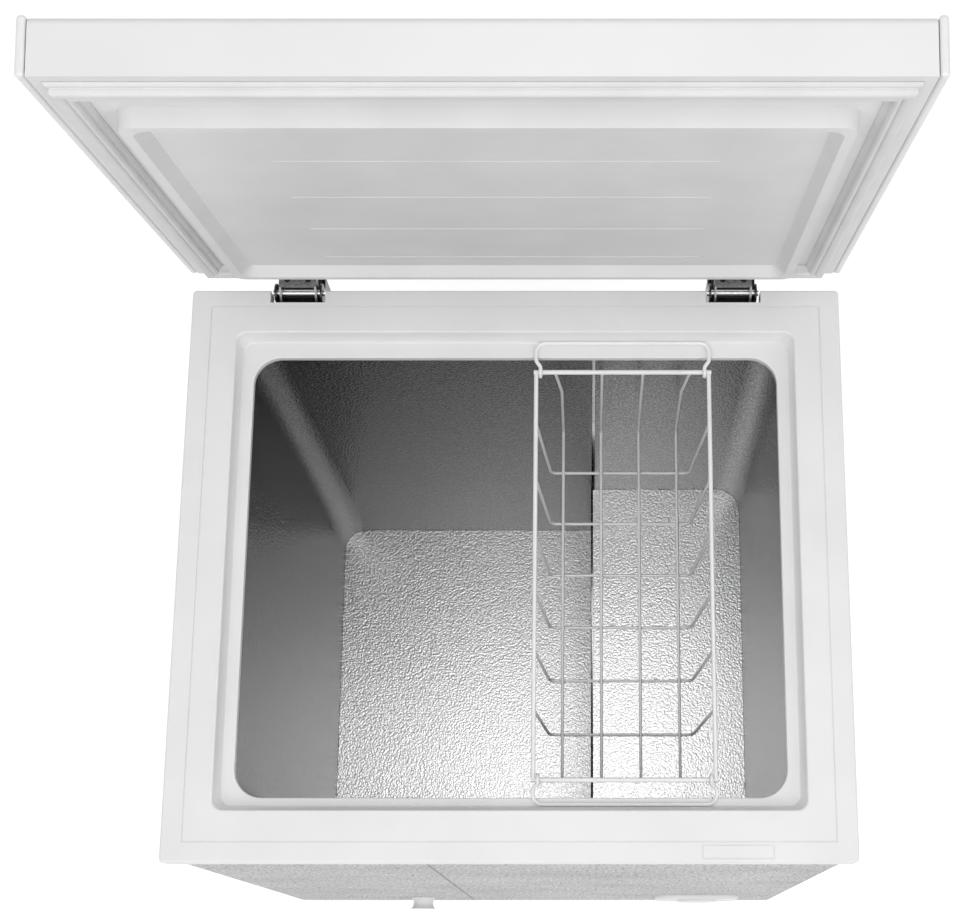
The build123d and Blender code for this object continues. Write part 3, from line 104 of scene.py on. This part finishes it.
def add(tree, kind, settings=None, **links):
    """Adds one node, sets its own fields and a ramp's stops, and sets or links its inputs.
    An input goes by its name with _ for a space, or by its number as i0, i1 and so on."""
    node = tree.nodes.new(kind)
    for field, value in (settings or {}).items():
        if field == "stops":
            elements = node.color_ramp.elements
            while len(elements) < len(value):
                elements.new(0.5)
            for element, (position, code) in zip(elements, value):
                element.position = position
                element.color = linear(code)
        else:
            setattr(node, field, value)
    for name, value in links.items():
        numbered = name[0] == "i" and name[1:].isdigit()
        socket = node.inputs[int(name[1:])] if numbered else node.inputs[name.replace("_", " ")]
        if isinstance(value, bpy.types.NodeSocket):
            tree.links.new(value, socket)
        else:
            socket.default_value = value
    return node


def start(name):
    """An empty node material, and the object coordinates in metres that its patterns read."""
    made = bpy.data.materials.new(name)
    made.use_nodes = True
    made.node_tree.nodes.clear()
    place = add(made.node_tree, "ShaderNodeTexCoord").outputs["Object"]
    return made, made.node_tree, place


def per_metre(size_mm):
    """Texture scale that gives one feature for each size in millimetres."""
    return 1.0 / (size_mm * MM)


def moulded_plastic(name, dark, light, roughness, grain_mm, depth_mm):
    """Injection-moulded ABS: even and pale, with a fine spark-eroded grain and a faint mottle."""
    made, tree, place = start(name)
    mottle = add(tree, "ShaderNodeTexNoise", Vector=place, Scale=per_metre(60), Detail=3.0)
    tone = add(tree, "ShaderNodeValToRGB", {"stops": [(0.3, dark), (0.7, light)]}, Fac=mottle.outputs["Fac"])
    grain = add(tree, "ShaderNodeTexNoise", Vector=place, Scale=per_metre(grain_mm), Detail=2.0)
    sheen = add(
        tree,
        "ShaderNodeMapRange",
        Value=grain.outputs["Fac"],
        To_Min=roughness - 0.06,
        To_Max=roughness + 0.06,
    )
    relief = add(tree, "ShaderNodeBump", Distance=depth_mm * MM, Height=grain.outputs["Fac"])
    shader = add(
        tree,
        "ShaderNodeBsdfPrincipled",
        Base_Color=tone.outputs["Color"],
        Roughness=sheen.outputs["Result"],
        IOR=1.53,
        Normal=relief.outputs["Normal"],
    )
    add(tree, "ShaderNodeOutputMaterial", Surface=shader.outputs[0])
    return made


def painted_steel(name, dark, light, roughness, peel_mm=3.0, depth_mm=0.03):
    """Powder-coated sheet steel: smooth paint with a shallow orange peel."""
    made, tree, place = start(name)
    mottle = add(tree, "ShaderNodeTexNoise", Vector=place, Scale=per_metre(140), Detail=4.0)
    tone = add(tree, "ShaderNodeValToRGB", {"stops": [(0.3, dark), (0.7, light)]}, Fac=mottle.outputs["Fac"])
    peel = add(tree, "ShaderNodeTexNoise", Vector=place, Scale=per_metre(peel_mm), Detail=1.0)
    relief = add(tree, "ShaderNodeBump", Distance=depth_mm * MM, Height=peel.outputs["Fac"])
    shader = add(
        tree,
        "ShaderNodeBsdfPrincipled",
        Base_Color=tone.outputs["Color"],
        Roughness=roughness,
        IOR=1.5,
        Normal=relief.outputs["Normal"],
    )
    add(tree, "ShaderNodeOutputMaterial", Surface=shader.outputs[0])
    return made


def bare_metal(name, dark, light, roughness, grain_mm, depth_mm=0.02):
    """Bare or plated metal: reflective, with a fine rolled or crystalline grain."""
    made, tree, place = start(name)
    grain = add(tree, "ShaderNodeTexNoise", Vector=place, Scale=per_metre(grain_mm), Detail=3.0)
    tone = add(tree, "ShaderNodeValToRGB", {"stops": [(0.3, dark), (0.7, light)]}, Fac=grain.outputs["Fac"])
    sheen = add(
        tree,
        "ShaderNodeMapRange",
        Value=grain.outputs["Fac"],
        To_Min=roughness - 0.08,
        To_Max=roughness + 0.08,
    )
    relief = add(tree, "ShaderNodeBump", Distance=depth_mm * MM, Height=grain.outputs["Fac"])
    shader = add(
        tree,
        "ShaderNodeBsdfPrincipled",
        Base_Color=tone.outputs["Color"],
        Metallic=1.0,
        Roughness=sheen.outputs["Result"],
        Normal=relief.outputs["Normal"],
    )
    add(tree, "ShaderNodeOutputMaterial", Surface=shader.outputs[0])
    return made


def stucco_aluminium(name, dark, light, roughness, relief_mm, edge):
    """Aluminium sheet rolled with a stucco pattern: worm-like pebbles about 2.4 mm across.
    Each pebble catches the light on one side, so the sheet sparkles and mirrors softly. Its colour is also
    painted lighter at each pebble's middle and darker between pebbles, a painted highlight and painted shade.
    The edge colour is what the metal keeps of its reflection at a flat angle."""
    made, tree, place = start(name)
    warp = add(tree, "ShaderNodeTexNoise", Vector=place, Scale=per_metre(5), Detail=1.0)
    bent = add(
        tree,
        "ShaderNodeVectorMath",
        {"operation": "MULTIPLY_ADD"},
        i0=warp.outputs["Color"],
        i1=(0.003, 0.003, 0.003),
        i2=place,
    )
    pebble = add(
        tree,
        "ShaderNodeTexVoronoi",
        {"feature": "SMOOTH_F1"},
        Vector=bent.outputs["Vector"],
        Scale=per_metre(2.4),
        Smoothness=0.35,
    )
    # painted highlight and painted shade: the colour runs from light at a pebble's middle to dark between
    # pebbles
    tone = add(
        tree, "ShaderNodeValToRGB", {"stops": [(0.12, light), (0.55, dark)]}, Fac=pebble.outputs["Distance"]
    )
    relief = add(
        tree, "ShaderNodeBump", {"invert": True}, Distance=relief_mm * MM, Height=pebble.outputs["Distance"]
    )
    shader = add(
        tree,
        "ShaderNodeBsdfPrincipled",
        Base_Color=tone.outputs["Color"],
        Metallic=1.0,
        Roughness=roughness,
        Specular_Tint=linear(edge),
        Normal=relief.outputs["Normal"],
    )
    add(tree, "ShaderNodeOutputMaterial", Surface=shader.outputs[0])
    return made


def concrete_film():
    """Matt film with a concrete look: cloudy pale grey, upright grit, dark pits, one slab joint."""
    made, tree, place = start("concrete_film")
    cloud = add(tree, "ShaderNodeTexNoise", Vector=place, Scale=per_metre(110), Detail=6.0, Roughness=0.6)
    base = add(
        tree,
        "ShaderNodeValToRGB",
        {"stops": [(0.25, 0xC6C6C6), (0.5, 0xDADADA), (0.75, 0xE8E8E8)]},
        Fac=cloud.outputs["Fac"],
    )
    upright = add(tree, "ShaderNodeMapping", Vector=place, Scale=(1.0, 1.0, 0.45))
    grit = add(
        tree,
        "ShaderNodeTexNoise",
        Vector=upright.outputs["Vector"],
        Scale=per_metre(3.2),
        Detail=3.0,
        Roughness=0.65,
    )
    speckle = add(
        tree,
        "ShaderNodeValToRGB",
        {"stops": [(0.3, 0x5C5C5C), (0.47, 0xD8D8D8), (0.6, 0xFFFFFF)]},
        Fac=grit.outputs["Fac"],
    )
    toned = add(
        tree,
        "ShaderNodeMix",
        {"data_type": "RGBA", "blend_type": "MULTIPLY"},
        i0=0.9,
        i6=base.outputs["Color"],
        i7=speckle.outputs["Color"],
    )
    pits = add(tree, "ShaderNodeTexVoronoi", Vector=upright.outputs["Vector"], Scale=per_metre(13))
    spots = add(
        tree,
        "ShaderNodeValToRGB",
        {"stops": [(0.07, 0x3A3A3A), (0.17, 0xFFFFFF)]},
        Fac=pits.outputs["Distance"],
    )
    pitted = add(
        tree,
        "ShaderNodeMix",
        {"data_type": "RGBA", "blend_type": "MULTIPLY"},
        i0=0.8,
        i6=toned.outputs[2],
        i7=spots.outputs["Color"],
    )
    across = add(tree, "ShaderNodeSeparateXYZ", Vector=place)
    offset = add(tree, "ShaderNodeMath", {"operation": "ADD"}, i0=across.outputs["X"], i1=-SLAB_JOINT_X)
    away = add(tree, "ShaderNodeMath", {"operation": "ABSOLUTE"}, i0=offset.outputs[0])
    joint = add(
        tree,
        "ShaderNodeMapRange",
        Value=away.outputs[0],
        From_Min=0.8 * MM,
        From_Max=1.8 * MM,
        To_Min=0.8,
        To_Max=0.0,
    )
    jointed = add(
        tree,
        "ShaderNodeMix",
        {"data_type": "RGBA", "blend_type": "MIX"},
        i0=joint.outputs["Result"],
        i6=pitted.outputs[2],
        i7=linear(0x747474),
    )
    relief = add(tree, "ShaderNodeBump", Distance=0.05 * MM, Height=grit.outputs["Fac"])
    shader = add(
        tree,
        "ShaderNodeBsdfPrincipled",
        Base_Color=jointed.outputs[2],
        Roughness=0.62,
        IOR=1.5,
        Normal=relief.outputs["Normal"],
    )
    add(tree, "ShaderNodeOutputMaterial", Surface=shader.outputs[0])
    return made


# White ABS of the frame and caps: soft satin highlights on the rounded edges
white_abs = moulded_plastic("white_moulded_abs", 0xE5E5E5, 0xEAEAEA, 0.36, 0.9, 0.02)
# Vacuum-formed polystyrene of the lid's liner: a shade greyer, slightly wavy
formed_sheet = moulded_plastic("vacuum_formed_polystyrene", 0xDEDEDE, 0xE4E4E4, 0.42, 2.5, 0.04)
# White powder coat of the outer sheets: even, with a faint orange peel in the reflections
white_steel = painted_steel("white_powder_coat", 0xE4E4E4, 0xE9E9E9, 0.38)
# Soft vinyl of the gasket: matt and a little darker than the lid
soft_vinyl = moulded_plastic("soft_white_vinyl", 0xD6D6D6, 0xDEDEDE, 0.5, 1.2, 0.03)
# Vinyl dip coat of the basket: bright, smooth and slightly lumpy
wire_coat = moulded_plastic("white_vinyl_dip_coat", 0xEAEAEA, 0xF0F0F0, 0.3, 1.5, 0.05)
# Black enamel of the compressor and hinge brackets: deep gloss with sharp highlights
black_enamel = painted_steel("black_enamel", 0x141414, 0x1C1C1C, 0.28)
# Black plastic of feet, gland, relay cover, thermostat body and plungers: dull, with a moulded grain
black_plastic = moulded_plastic("black_moulded_plastic", 0x161616, 0x202020, 0.5, 0.8, 0.02)
# Black rubber of the mounts: almost no shine
black_rubber = moulded_plastic("black_rubber", 0x121212, 0x1B1B1B, 0.75, 0.7, 0.04)
# Rigid polyurethane foam: pale yellow, dry and pitted
pale_foam = moulded_plastic("rigid_foam", 0xC9B98A, 0xD8C99C, 0.85, 1.5, 0.2)
# Galvanised base sheet: blurred grey reflections broken by the zinc's crystals
zinc_steel = bare_metal("galvanised_steel", 0xA2A5A8, 0xC0C3C6, 0.38, 8.0)
# Bright zinc of pins, studs, screws and springs: sharp light reflections
bright_zinc = bare_metal("bright_zinc_plate", 0xC4C5C6, 0xDADBDC, 0.2, 2.0)
# Plated steel of the hinge levers: light grey with a soft shine
hinge_steel = bare_metal("plated_hinge_steel", 0x949494, 0xB0B0B0, 0.3, 3.0)
# Drawn copper of the refrigerant lines: warm, softly mirrored
copper = bare_metal("drawn_copper", 0xB56A42, 0xC98258, 0.3, 4.0)
# Stucco aluminium in three copies of one metal: painted shade makes the left wrap dark and the right one less
# dark, and the left wrap's slightly lower edge colour darkens its reflections at a flat angle, more painted
# shade; the floors are almost white
stucco_painted_shade_left = stucco_aluminium("stucco_aluminium_left_wrap_painted_shade", 0x2A2A2A, 0x707070, 0.2, 0.34, 0xF2F2F2)
stucco_painted_shade_right = stucco_aluminium("stucco_aluminium_right_wrap_painted_shade", 0x4A4A4A, 0x9C9C9C, 0.2, 0.34, 0xFCFCFC)
stucco_floor = stucco_aluminium("stucco_aluminium_floor", 0xD2D2D2, 0xF8F8F8, 0.28, 0.28, 0xFFFFFF)
# Smooth folded edges of the aluminium sheets: plain bright lines between the embossed faces
stucco_edge = bare_metal("smooth_aluminium_edge", 0xB8B8B8, 0xD0D0D0, 0.25, 2.0)
# Printed film of the front panel: matt, speckled like cast concrete
concrete = concrete_film()


def paint(finish, *names):
    """Gives CAD nodes their finish."""
    for name in names:
        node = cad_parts[name]
        node.data.materials.clear()
        node.data.materials.append(finish)


paint(white_abs, "top_frame", "lid_cap_left", "lid_cap_right", "drain_plug", "floor_drain_cap", "drain_tube")
paint(white_abs, "thermostat_bezel", "thermostat_knob")
paint(formed_sheet, "lid_liner")
paint(white_steel, "lid_panel", "left_panel", "right_panel", "back_panel", "compressor_cover")
paint(concrete, "front_panel")
# The liner wraps take the stucco copies with painted shade; the floor and step take the pale copy
paint(stucco_painted_shade_left, "liner_wrap_left")
paint(stucco_painted_shade_right, "liner_wrap_right")
paint(stucco_floor, "liner_floor", "liner_step")
paint(wire_coat, "basket_frame", "basket_cross_wires", "basket_long_wires")
paint(wire_coat, "basket_handle_front", "basket_handle_rear")
paint(pale_foam, "cabinet_foam", "lid_foam")
paint(zinc_steel, "base_plate", "bay_shield")
paint(copper, "evaporator_coil", "condenser_coil", "suction_line", "discharge_line")
paint(copper, "filter_drier", "capillary_tube")
paint(black_enamel, "compressor_lower_shell", "compressor_upper_shell", "compressor_plate")
paint(black_plastic, "feet", "relay_cover", "cord_gland", "thermostat_body")
paint(black_plastic, "hinge_plunger_left", "hinge_plunger_right")
paint(black_rubber, "compressor_grommets")
paint(bright_zinc, "hinge_screws", "lid_screws", "cover_screws", "compressor_studs")
paint(bright_zinc, "hinge_pin_left", "hinge_pin_right", "hinge_spring_left", "hinge_spring_right")
paint(black_enamel, "hinge_base_left", "hinge_base_right")
paint(hinge_steel, "hinge_lever_left", "hinge_lever_right")


def surface(name, points, finish, close_u=False, close_v=False, smooth=True):
    """A mesh of quads through one or more grids of points of shape (u, v, 3), closed round u or v.
    A grid that is closed one way only is a tube, and one flat face shuts each of its ends."""
    rows, columns = points.shape[-3:-1]
    index = np.arange(points.size // 3).reshape(-1, rows, columns)
    if close_u:
        index = np.concatenate([index, index[:, :1]], axis=1)
    if close_v:
        index = np.concatenate([index, index[:, :, :1]], axis=2)
    quads = np.stack([index[:, :-1, :-1], index[:, 1:, :-1], index[:, 1:, 1:], index[:, :-1, 1:]], axis=-1)
    faces = quads.reshape(-1, 4).tolist()
    ends = []
    if close_u and not close_v:
        ends = [index[:, :-1, 0], index[:, -2::-1, -1]]
    if close_v and not close_u:
        ends = [index[:, 0, -2::-1], index[:, -1, :-1]]
    for rings in ends:
        faces += rings.tolist()
    mesh = bpy.data.meshes.new(name)
    mesh.from_pydata(points.reshape(-1, 3).tolist(), [], faces)
    mesh.polygons.foreach_set("use_smooth", np.arange(len(faces)) < (quads.size // 4 if smooth else 0))
    mesh.materials.append(finish)
    mesh.update()
    made = bpy.data.objects.new(name, mesh)
    scene.collection.objects.link(made)
    return made


def closed_curve(points, per_span):
    """A smooth closed line through points: on each span the cubic that passes through its two ends
    with tangents along the neighbours' chord."""
    before = np.roll(points, 1, axis=0)
    after = np.roll(points, -1, axis=0)
    second = np.roll(points, -2, axis=0)
    t = (np.arange(per_span) / per_span)[None, :, None]
    p0, p1, p2, p3 = (a[:, None, :] for a in (before, points, after, second))
    cubic = p1 + 0.5 * t * (
        p2 - p0 + t * (2 * p0 - 5 * p1 + 4 * p2 - p3 + t * (3 * (p1 - p2) + p3 - p0))
    )
    return cubic.reshape(-1, points.shape[1])


def swing_open(points):
    """Turns points drawn with the lid shut to the open lid: a rotation about the hinge pins' line."""
    turned = points - PIVOT
    y = turned[..., 1] * math.cos(OPEN_ANGLE) + turned[..., 2] * math.sin(OPEN_ANGLE)
    z = -turned[..., 1] * math.sin(OPEN_ANGLE) + turned[..., 2] * math.cos(OPEN_ANGLE)
    return np.stack([turned[..., 0], y, z], axis=-1) + PIVOT


def lid_gasket():
    """Welded vinyl gasket: one hollow-bead profile carried round a rectangle with mitred corners.
    A profile point is (distance in from the outer edge, drop below the lid), so its path is the
    rectangle shrunk by that distance; three rows at each corner keep the mitre crisp."""
    profile = closed_curve(
        np.array(
            [
                (0.6, 0.0), (0.2, 1.2), (1.6, 2.9), (3.6, 3.4), (3.3, 5.0), (4.0, 8.0),
                (6.2, 9.0), (9.6, 9.0), (11.4, 8.4), (12.2, 7.2), (13.2, 8.2), (15.6, 8.4),
                (17.2, 6.6), (17.2, 3.7), (19.2, 3.2), (20.8, 1.3), (20.4, 0.0), (10.5, 0.1),
            ]
        ) * MM,
        6,
    )
    inset, drop = profile[::-1, 0], profile[::-1, 1]
    corner_x = np.array([-1, 1, 1, -1]) * GASKET_X
    corner_y = np.array([GASKET_FRONT, GASKET_FRONT, GASKET_REAR, GASKET_REAR])
    sign_x = np.array([1, -1, -1, 1])
    sign_y = np.array([1, 1, -1, -1])
    row_gap = 0.4 * MM
    along_x = np.array([[0, 0, 1], [-1, 0, 0], [0, 0, -1], [1, 0, 0]]) * row_gap
    along_y = np.array([[1, 0, 0], [0, 0, 1], [-1, 0, 0], [0, 0, -1]]) * row_gap
    x = corner_x[:, None, None] + sign_x[:, None, None] * inset + along_x[:, :, None]
    y = corner_y[:, None, None] + sign_y[:, None, None] * inset + along_y[:, :, None]
    z = np.broadcast_to(LID_LOW - drop, x.shape)
    points = np.stack([x, y, z], axis=-1).reshape(12, -1, 3)
    made = surface("lid_gasket_bead", swing_open(points), soft_vinyl, close_u=True, close_v=True)
    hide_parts("lid_gasket")
    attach(made, "lid")


def basket_welds():
    """Coating beads where the basket's wires meet: ellipsoids about each meeting point, with
    point (a sin v cos u, b cos v, c sin v sin u) for u round the bead and v from end to end."""
    above_floor, below_side, below_end = 1.5 * MM, 2.2 * MM, 2.3 * MM
    cross, along = np.meshgrid(CROSS_WIRES, LONG_WIRES)
    crossings = np.stack([along, cross, np.full(cross.shape, BASKET_FLOOR + above_floor)], axis=-1)
    side, place = np.meshgrid(BASKET_SIDES, CROSS_WIRES)
    side_ends = np.stack([side, place, np.full(side.shape, BASKET_TOP - below_side)], axis=-1)
    end, spot = np.meshgrid(BASKET_ENDS, LONG_TOPS)
    long_ends = np.stack([spot, end, np.full(end.shape, BASKET_TOP - below_end)], axis=-1)
    centres = np.concatenate([crossings.reshape(-1, 3), side_ends.reshape(-1, 3), long_ends.reshape(-1, 3)])
    u = np.linspace(0, 2 * np.pi, 12, endpoint=False)[:, None]
    v = np.linspace(0.1 * np.pi, 0.9 * np.pi, 9)[None, :]
    bead = np.stack([np.cos(u) * np.sin(v), np.cos(v) + 0 * u, np.sin(u) * np.sin(v)], axis=-1)
    points = centres[:, None, None, :] + bead * WELD_BEAD
    made = surface("basket_weld_beads", points, wire_coat, close_u=True)
    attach(made, "basket")


def liner_hems():
    """Folded hems of the liner sheets: a flat rounded profile carried straight up the seam on the
    rear and front walls, and a rounded nosing carried along the edge of the raised step."""
    fold = closed_curve(
        np.array([(0.2, -0.1), (0.1, 0.6), (0.5, 1.0), (1.7, 1.1), (2.9, 1.0), (3.3, 0.6), (3.2, -0.1)]) * MM,
        5,
    )
    heights = np.array([STEP_TOP, LINER_TOP])[:, None]
    x = RISER + fold[None, :, 0] + 0 * heights
    z = heights + 0 * fold[None, :, 0]
    rear = np.stack([x, LINER_REAR - fold[None, :, 1] + 0 * heights, z], axis=-1)
    front = np.stack([x, LINER_FRONT + fold[None, :, 1] + 0 * heights, z], axis=-1)
    made = surface("liner_seam_hems", np.stack([rear[::-1], front]), stucco_edge, close_v=True)
    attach(made, "cabinet")

    nose = closed_curve(
        np.array(
            [
                (-0.9, -6.0), (-1.1, -1.0), (-0.6, 0.4), (0.3, 0.8),
                (1.5, 0.7), (1.5, -0.4), (0.2, -0.6), (0.1, -6.0),
            ]
        ) * MM,
        5,
    )
    run = np.array([LINER_REAR, LINER_FRONT])[:, None]
    edge = np.stack(
        [
            RISER + nose[None, :, 0] + 0 * run,
            run + 0 * nose[None, :, 0],
            STEP_TOP + nose[None, :, 1] + 0 * run,
        ],
        axis=-1,
    )
    made = surface("step_edge_nosing", edge, stucco_edge, close_v=True)
    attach(made, "cabinet")


def screw_heads(name, node, body, centres, radius):
    """Pan-head screws that face the rear: at distance r from the middle a low dome of height
    h (1 - 0.35 (r / R)^3), then a straight wall down to the seat. A cross is sunk into the dome
    where the point is near one arm's line and inside the arm's length, with eased edges."""
    dome_fall = 0.35
    arm_half, arm_reach, arm_depth = 0.2, 0.64, 1.3 * MM
    side_ease, end_ease = 0.06, 0.1
    angle = np.linspace(0, 2 * np.pi, 48, endpoint=False)[:, None]
    share = np.concatenate([np.linspace(0.03, 0.94, 14), [0.98, 1.0, 1.0]])[None, :]
    across = radius * share * np.cos(angle)
    up = radius * share * np.sin(angle)
    dome = SCREW_HEAD_TALL * (1 - dome_fall * share**3) * np.append(np.ones(share.size - 1), 0.0)
    near = np.minimum(abs(across), abs(up)) / radius
    far = np.maximum(abs(across), abs(up)) / radius
    sunk = np.clip((arm_half - near) / side_ease, 0, 1) * np.clip((arm_reach - far) / end_ease, 0, 1)
    head = np.stack([across, dome - arm_depth * sunk, up], axis=-1)
    points = np.array(centres)[:, None, None, :] + head
    made = surface(name, swing_open(points) if body == "lid" else points, bright_zinc, close_u=True)
    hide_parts(node)
    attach(made, body)


lid_gasket()
basket_welds()
liner_hems()
low, high = (np.array(corner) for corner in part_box("cover_screws"))
cover_columns = [low[0] + COVER_SCREW_RADIUS, high[0] - COVER_SCREW_RADIUS]
cover_rows = np.linspace(low[2] + COVER_SCREW_RADIUS, high[2] - COVER_SCREW_RADIUS, 3)
ear_columns = [-HINGE_X - EAR_X, -HINGE_X + EAR_X, HINGE_X - EAR_X, HINGE_X + EAR_X]
cover_places = np.stack(np.meshgrid(cover_columns, [high[1] - SCREW_HEAD_TALL], cover_rows), axis=-1)
ear_places = np.stack(np.meshgrid(ear_columns, [EAR_FACE], EAR_SCREWS), axis=-1)
lever_places = np.stack(np.meshgrid([-HINGE_X, HINGE_X], [LEVER_FACE], LEVER_SCREWS), axis=-1)
screw_heads("cover_screw_heads", "cover_screws", "cabinet", cover_places.reshape(-1, 3), COVER_SCREW_RADIUS)
screw_heads("hinge_screw_heads", "hinge_screws", "cabinet", ear_places.reshape(-1, 3), HINGE_SCREW_RADIUS)
screw_heads("lid_screw_heads", "lid_screws", "lid", lever_places.reshape(-1, 3), HINGE_SCREW_RADIUS)


def stage():
    """A pale floor that is white to the camera and keeps a soft shadow, under a white world."""
    made, tree, place = start("studio_floor")
    cloud = add(tree, "ShaderNodeTexNoise", Vector=place, Scale=0.6, Detail=2.0)
    tone = add(
        tree, "ShaderNodeValToRGB", {"stops": [(0.3, 0xEDEDED), (0.7, 0xF0F0F0)]}, Fac=cloud.outputs["Fac"]
    )
    path = add(tree, "ShaderNodeLightPath")
    seen = add(
        tree,
        "ShaderNodeMath",
        {"operation": "MAXIMUM"},
        i0=path.outputs["Is Camera Ray"],
        i1=path.outputs["Is Glossy Ray"],
    )
    glow = add(tree, "ShaderNodeMath", {"operation": "MULTIPLY"}, i0=seen.outputs[0], i1=0.45)
    shader = add(
        tree,
        "ShaderNodeBsdfPrincipled",
        Base_Color=tone.outputs["Color"],
        Roughness=0.9,
        Emission_Color=(1.0, 1.0, 1.0, 1.0),
        Emission_Strength=glow.outputs[0],
    )
    add(tree, "ShaderNodeOutputMaterial", Surface=shader.outputs[0])
    sides = [-FLOOR_HALF, FLOOR_HALF]
    grid = np.stack(np.meshgrid(sides, sides, [0.0], indexing="ij"), axis=-1).reshape(2, 2, 3)
    floor = surface("studio_floor", grid, made, smooth=False)

    world = bpy.data.worlds.new("studio_world")
    world.use_nodes = True
    scene.world = world
    tree = world.node_tree
    tree.nodes.clear()
    path = add(tree, "ShaderNodeLightPath")
    seen = add(
        tree,
        "ShaderNodeMath",
        {"operation": "MAXIMUM"},
        i0=path.outputs["Is Camera Ray"],
        i1=path.outputs["Is Glossy Ray"],
    )
    either = add(
        tree,
        "ShaderNodeMath",
        {"operation": "MAXIMUM"},
        i0=seen.outputs[0],
        i1=path.outputs["Is Transmission Ray"],
    )
    white = add(tree, "ShaderNodeBackground", Color=(1, 1, 1, 1), Strength=1.0)
    fill = add(tree, "ShaderNodeBackground", Color=(1, 1, 1, 1), Strength=0.55)
    mixed = add(
        tree,
        "ShaderNodeMixShader",
        i0=either.outputs[0],
        i1=fill.outputs[0],
        i2=white.outputs[0],
    )
    add(tree, "ShaderNodeOutputWorld", Surface=mixed.outputs[0])


def lamp(name, place, aim, size, power):
    """A square soft light that faces a point."""
    data = bpy.data.lights.new(name, "AREA")
    data.size = size
    data.energy = power
    made = bpy.data.objects.new(name, data)
    way = np.array(aim) - np.array(place)
    made.location = place
    made.rotation_euler = (
        math.acos(-way[2] / np.linalg.norm(way)),
        0.0,
        math.atan2(way[1], way[0]) - math.pi / 2,
    )
    scene.collection.objects.link(made)


stage()
lamp("key_light", (-1.0, -1.6, 3.0), (0, 0, 0.9), 1.8, 21.0)
lamp("fill_light", (1.8, -1.6, 2.2), (0, 0, 0.9), 1.6, 16.0)
lamp("top_light", (0.28, -0.1, 3.2), (0.1, 0.0, 0.0), 1.2, 9.5)

camera_data = bpy.data.cameras.new("camera")
camera_data.sensor_width = SENSOR_MM
camera_data.lens = FOCAL_PIXELS * SENSOR_MM / PHOTO_WIDTH
camera_data.shift_x = (PHOTO_WIDTH / 2 - SIGHT_X) / PHOTO_WIDTH
camera_data.shift_y = (SIGHT_Y - PHOTO_HEIGHT / 2) / PHOTO_WIDTH
camera = bpy.data.objects.new("camera", camera_data)
camera.location = CAMERA_PLACE
camera.rotation_euler = (math.pi / 2 - CAMERA_DOWN, 0.0, 0.0)
scene.collection.objects.link(camera)
scene.camera = camera
scene.view_settings.view_transform = "Standard"
